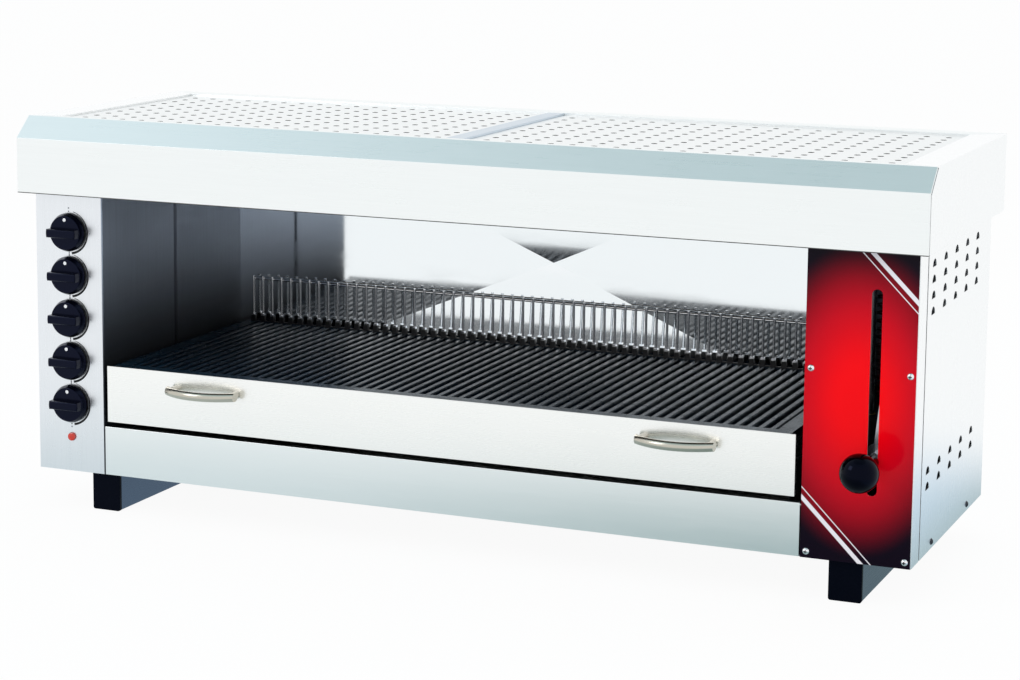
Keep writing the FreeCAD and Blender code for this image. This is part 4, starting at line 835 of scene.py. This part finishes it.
def dial_print(number):
    """The scale of one knob: a wedge that widens clockwise from the top to the bottom, and small round marks
    at the top, at the right and at the bottom."""
    low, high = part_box("burner_knob_%d" % number)
    centre = np.array([(low[0] + high[0]) / 2, DIAL_FRONT - INK_LIFT, (low[2] + high[2]) / 2])
    radius = (high[2] - low[2]) / 2
    middle = radius + WEDGE_GAP
    wedge = print_patch(
        centre,
        lambda share: middle - WEDGE_THIN - WEDGE_GROWTH * share,
        lambda share: middle + WEDGE_THIN + WEDGE_GROWTH * share,
        WEDGE_START, WEDGE_END, WEDGE_STEPS,
    )
    prints = [("wedge", wedge, INK)]
    for label, degrees, distance, size, ink in DIAL_MARKS:
        angle = math.radians(degrees)
        place = centre + np.array([math.sin(angle), 0, math.cos(angle)]) * (radius + distance * MM)
        prints.append((label, disc(place, size * MM, DISC_STEPS), ink))
    for label, points, ink in prints:
        piece = sheet_mesh("dial_%d_%s" % (number, label), points, 2, ink)
        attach(piece, "cabinet")


def knob_dot(number):
    """A round spot of paint on the knob's face at twelve o'clock."""
    low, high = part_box("burner_knob_%d" % number)
    face = low[1] + KNOB_FACE_DEPTH
    place = np.array([(low[0] + high[0]) / 2, face - DOT_LIFT, (low[2] + high[2]) / 2 + DOT_HEIGHT])
    piece = sheet_mesh("knob_dot_%d" % number, disc(place, DOT_RADIUS, DOT_STEPS), 2, DOT_PAINT)
    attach(piece, "knob_%d" % number)


for number in range(1, KNOB_COUNT + 1):
    dial_print(number)
    knob_dot(number)


# Studio: pale floor, white surroundings with a cooler ceiling, and three soft lamps

# The floor's fades are distances from the object, or places along X. The ceiling's are the upward parts of
# a direction whose length is 1.
FLOOR_REACH = 30.0
FLOOR_NEAR = 0.08
FLOOR_FAR = 0.60
FLOOR_FADE_X = (-0.5, 0.5)
FLOOR_SIDE_X = (0.6, 0.75)
BLEACH_SHARE = 0.94
CEILING_FROM = (0.5, 0.84)
CEILING_DARKER = (0.84, 0.94)
FILL_STRENGTH = 0.95
FLOOR_GREY = (0.93, 0.93, 0.93, 1)
FAR_FLOOR = (0.97, 0.98, 0.98, 1)


def build_floor():
    """A wide white floor whose shadow is mostly bleached out. In reflections it shows a painted shade: cooler
    and darker close to the object, most so in front of its right half, and bluer past its right side."""
    mesh = bpy.data.meshes.new("studio_floor")
    corners = [(x * FLOOR_REACH, y * FLOOR_REACH, 0) for x, y in ((-1, -1), (1, -1), (1, 1), (-1, 1))]
    mesh.from_pydata(corners, [], [(0, 1, 2, 3)])
    floor = bpy.data.objects.new("studio_floor", mesh)
    bpy.context.scene.collection.objects.link(floor)
    material = bpy.data.materials.new("studio_floor")
    material.use_nodes = True
    tree = material.node_tree
    tree.nodes.clear()
    shader = Shader(tree)
    low, high = cad_bounds
    axes = shader.add("ShaderNodeSeparateXYZ", {"Vector": shader.object_position()})
    past = []
    for label, start, end in (("X", low[0], high[0]), ("Y", low[1], high[1])):
        away = shader.math("ABSOLUTE", shader.math("SUBTRACT", axes.outputs[label], (start + end) / 2))
        past.append(shader.math("MAXIMUM", shader.math("SUBTRACT", away, (end - start) / 2), 0.0))
    squares = [shader.math("MULTIPLY", one, one) for one in past]
    distance = shader.math("SQRT", shader.math("ADD", *squares))
    across = axes.outputs["X"]
    # Painted shade for reflections: darker and cooler near the object, and bluer past its right side
    shade = shader.mix(shader.span(across, *FLOOR_FADE_X), tone(212, 224, 227), tone(156, 177, 179))
    shade = shader.mix(shader.span(across, *FLOOR_SIDE_X), shade, tone(200, 224, 244))
    mirrored = shader.mix(shader.span(distance, FLOOR_NEAR, FLOOR_FAR), shade, FAR_FLOOR)
    path = shader.add("ShaderNodeLightPath")
    shown = shader.mix(path.outputs["Is Camera Ray"], mirrored, WHITE)
    lit = shader.add("ShaderNodeBsdfDiffuse", {"Color": FLOOR_GREY})
    bleach = shader.add("ShaderNodeEmission", {"Color": shown, "Strength": 1.0})
    seen = shader.math("ADD", path.outputs["Is Camera Ray"], path.outputs["Is Glossy Ray"], clamp=True)
    share = shader.math("MULTIPLY", seen, BLEACH_SHARE)
    both = shader.add("ShaderNodeMixShader", {0: share, 1: lit.outputs[0], 2: bleach.outputs[0]})
    shader.add("ShaderNodeOutputMaterial", {"Surface": both.outputs[0]})
    mesh.materials.append(material)


def build_world():
    """White all round for the camera and for low reflections, cooler towards the ceiling, and plain fill."""
    world = bpy.data.worlds.new("studio")
    bpy.context.scene.world = world
    world.use_nodes = True
    tree = world.node_tree
    tree.nodes.clear()
    shader = Shader(tree)
    direction = shader.add("ShaderNodeTexCoord").outputs["Generated"]
    upward = shader.add("ShaderNodeSeparateXYZ", {"Vector": direction}).outputs["Z"]
    ceiling = shader.mix(shader.span(upward, *CEILING_DARKER), tone(230, 246, 252), tone(180, 200, 204))
    mirrored = shader.mix(shader.span(upward, *CEILING_FROM), WHITE, ceiling)
    path = shader.add("ShaderNodeLightPath")
    shown = shader.mix(path.outputs["Is Camera Ray"], mirrored, WHITE)
    seen = shader.math("ADD", path.outputs["Is Camera Ray"], path.outputs["Is Glossy Ray"])
    seen = shader.math("ADD", seen, path.outputs["Is Transmission Ray"], clamp=True)
    strength = shader.span(seen, 0.0, 1.0, FILL_STRENGTH, 1.0, smooth=False)
    back = shader.add("ShaderNodeBackground", {"Color": shown, "Strength": strength})
    shader.add("ShaderNodeOutputWorld", {"Surface": back.outputs[0]})


# Each lamp: its name, its place, its width and height, its power in watts, and whether metal mirrors it
LAMPS = (
    ("key_lamp", (-2.4, -2.6, 2.6), (1.6, 1.6), 22, True),
    ("side_lamp", (3.2, -0.4, 1.8), (1.4, 1.8), 12, False),
    ("top_lamp", (0.3, 0.6, 3.2), (2.4, 1.2), 12, False),
)
LAMP_AIM = Vector((0, 0, 0.3))


def add_lamp(name, place, size, power, mirrored):
    """A rectangular lamp that faces the middle of the object."""
    data = bpy.data.lights.new(name, "AREA")
    data.shape = "RECTANGLE"
    data.size, data.size_y = size
    data.energy = power
    lamp = bpy.data.objects.new(name, data)
    lamp.visible_glossy = mirrored
    lamp.location = place
    lamp.rotation_euler = (LAMP_AIM - Vector(place)).to_track_quat("-Z", "Y").to_euler()
    bpy.context.scene.collection.objects.link(lamp)


add_camera()
build_floor()
build_world()
for settings in LAMPS:
    add_lamp(*settings)
bpy.context.scene.view_settings.view_transform = "Standard"
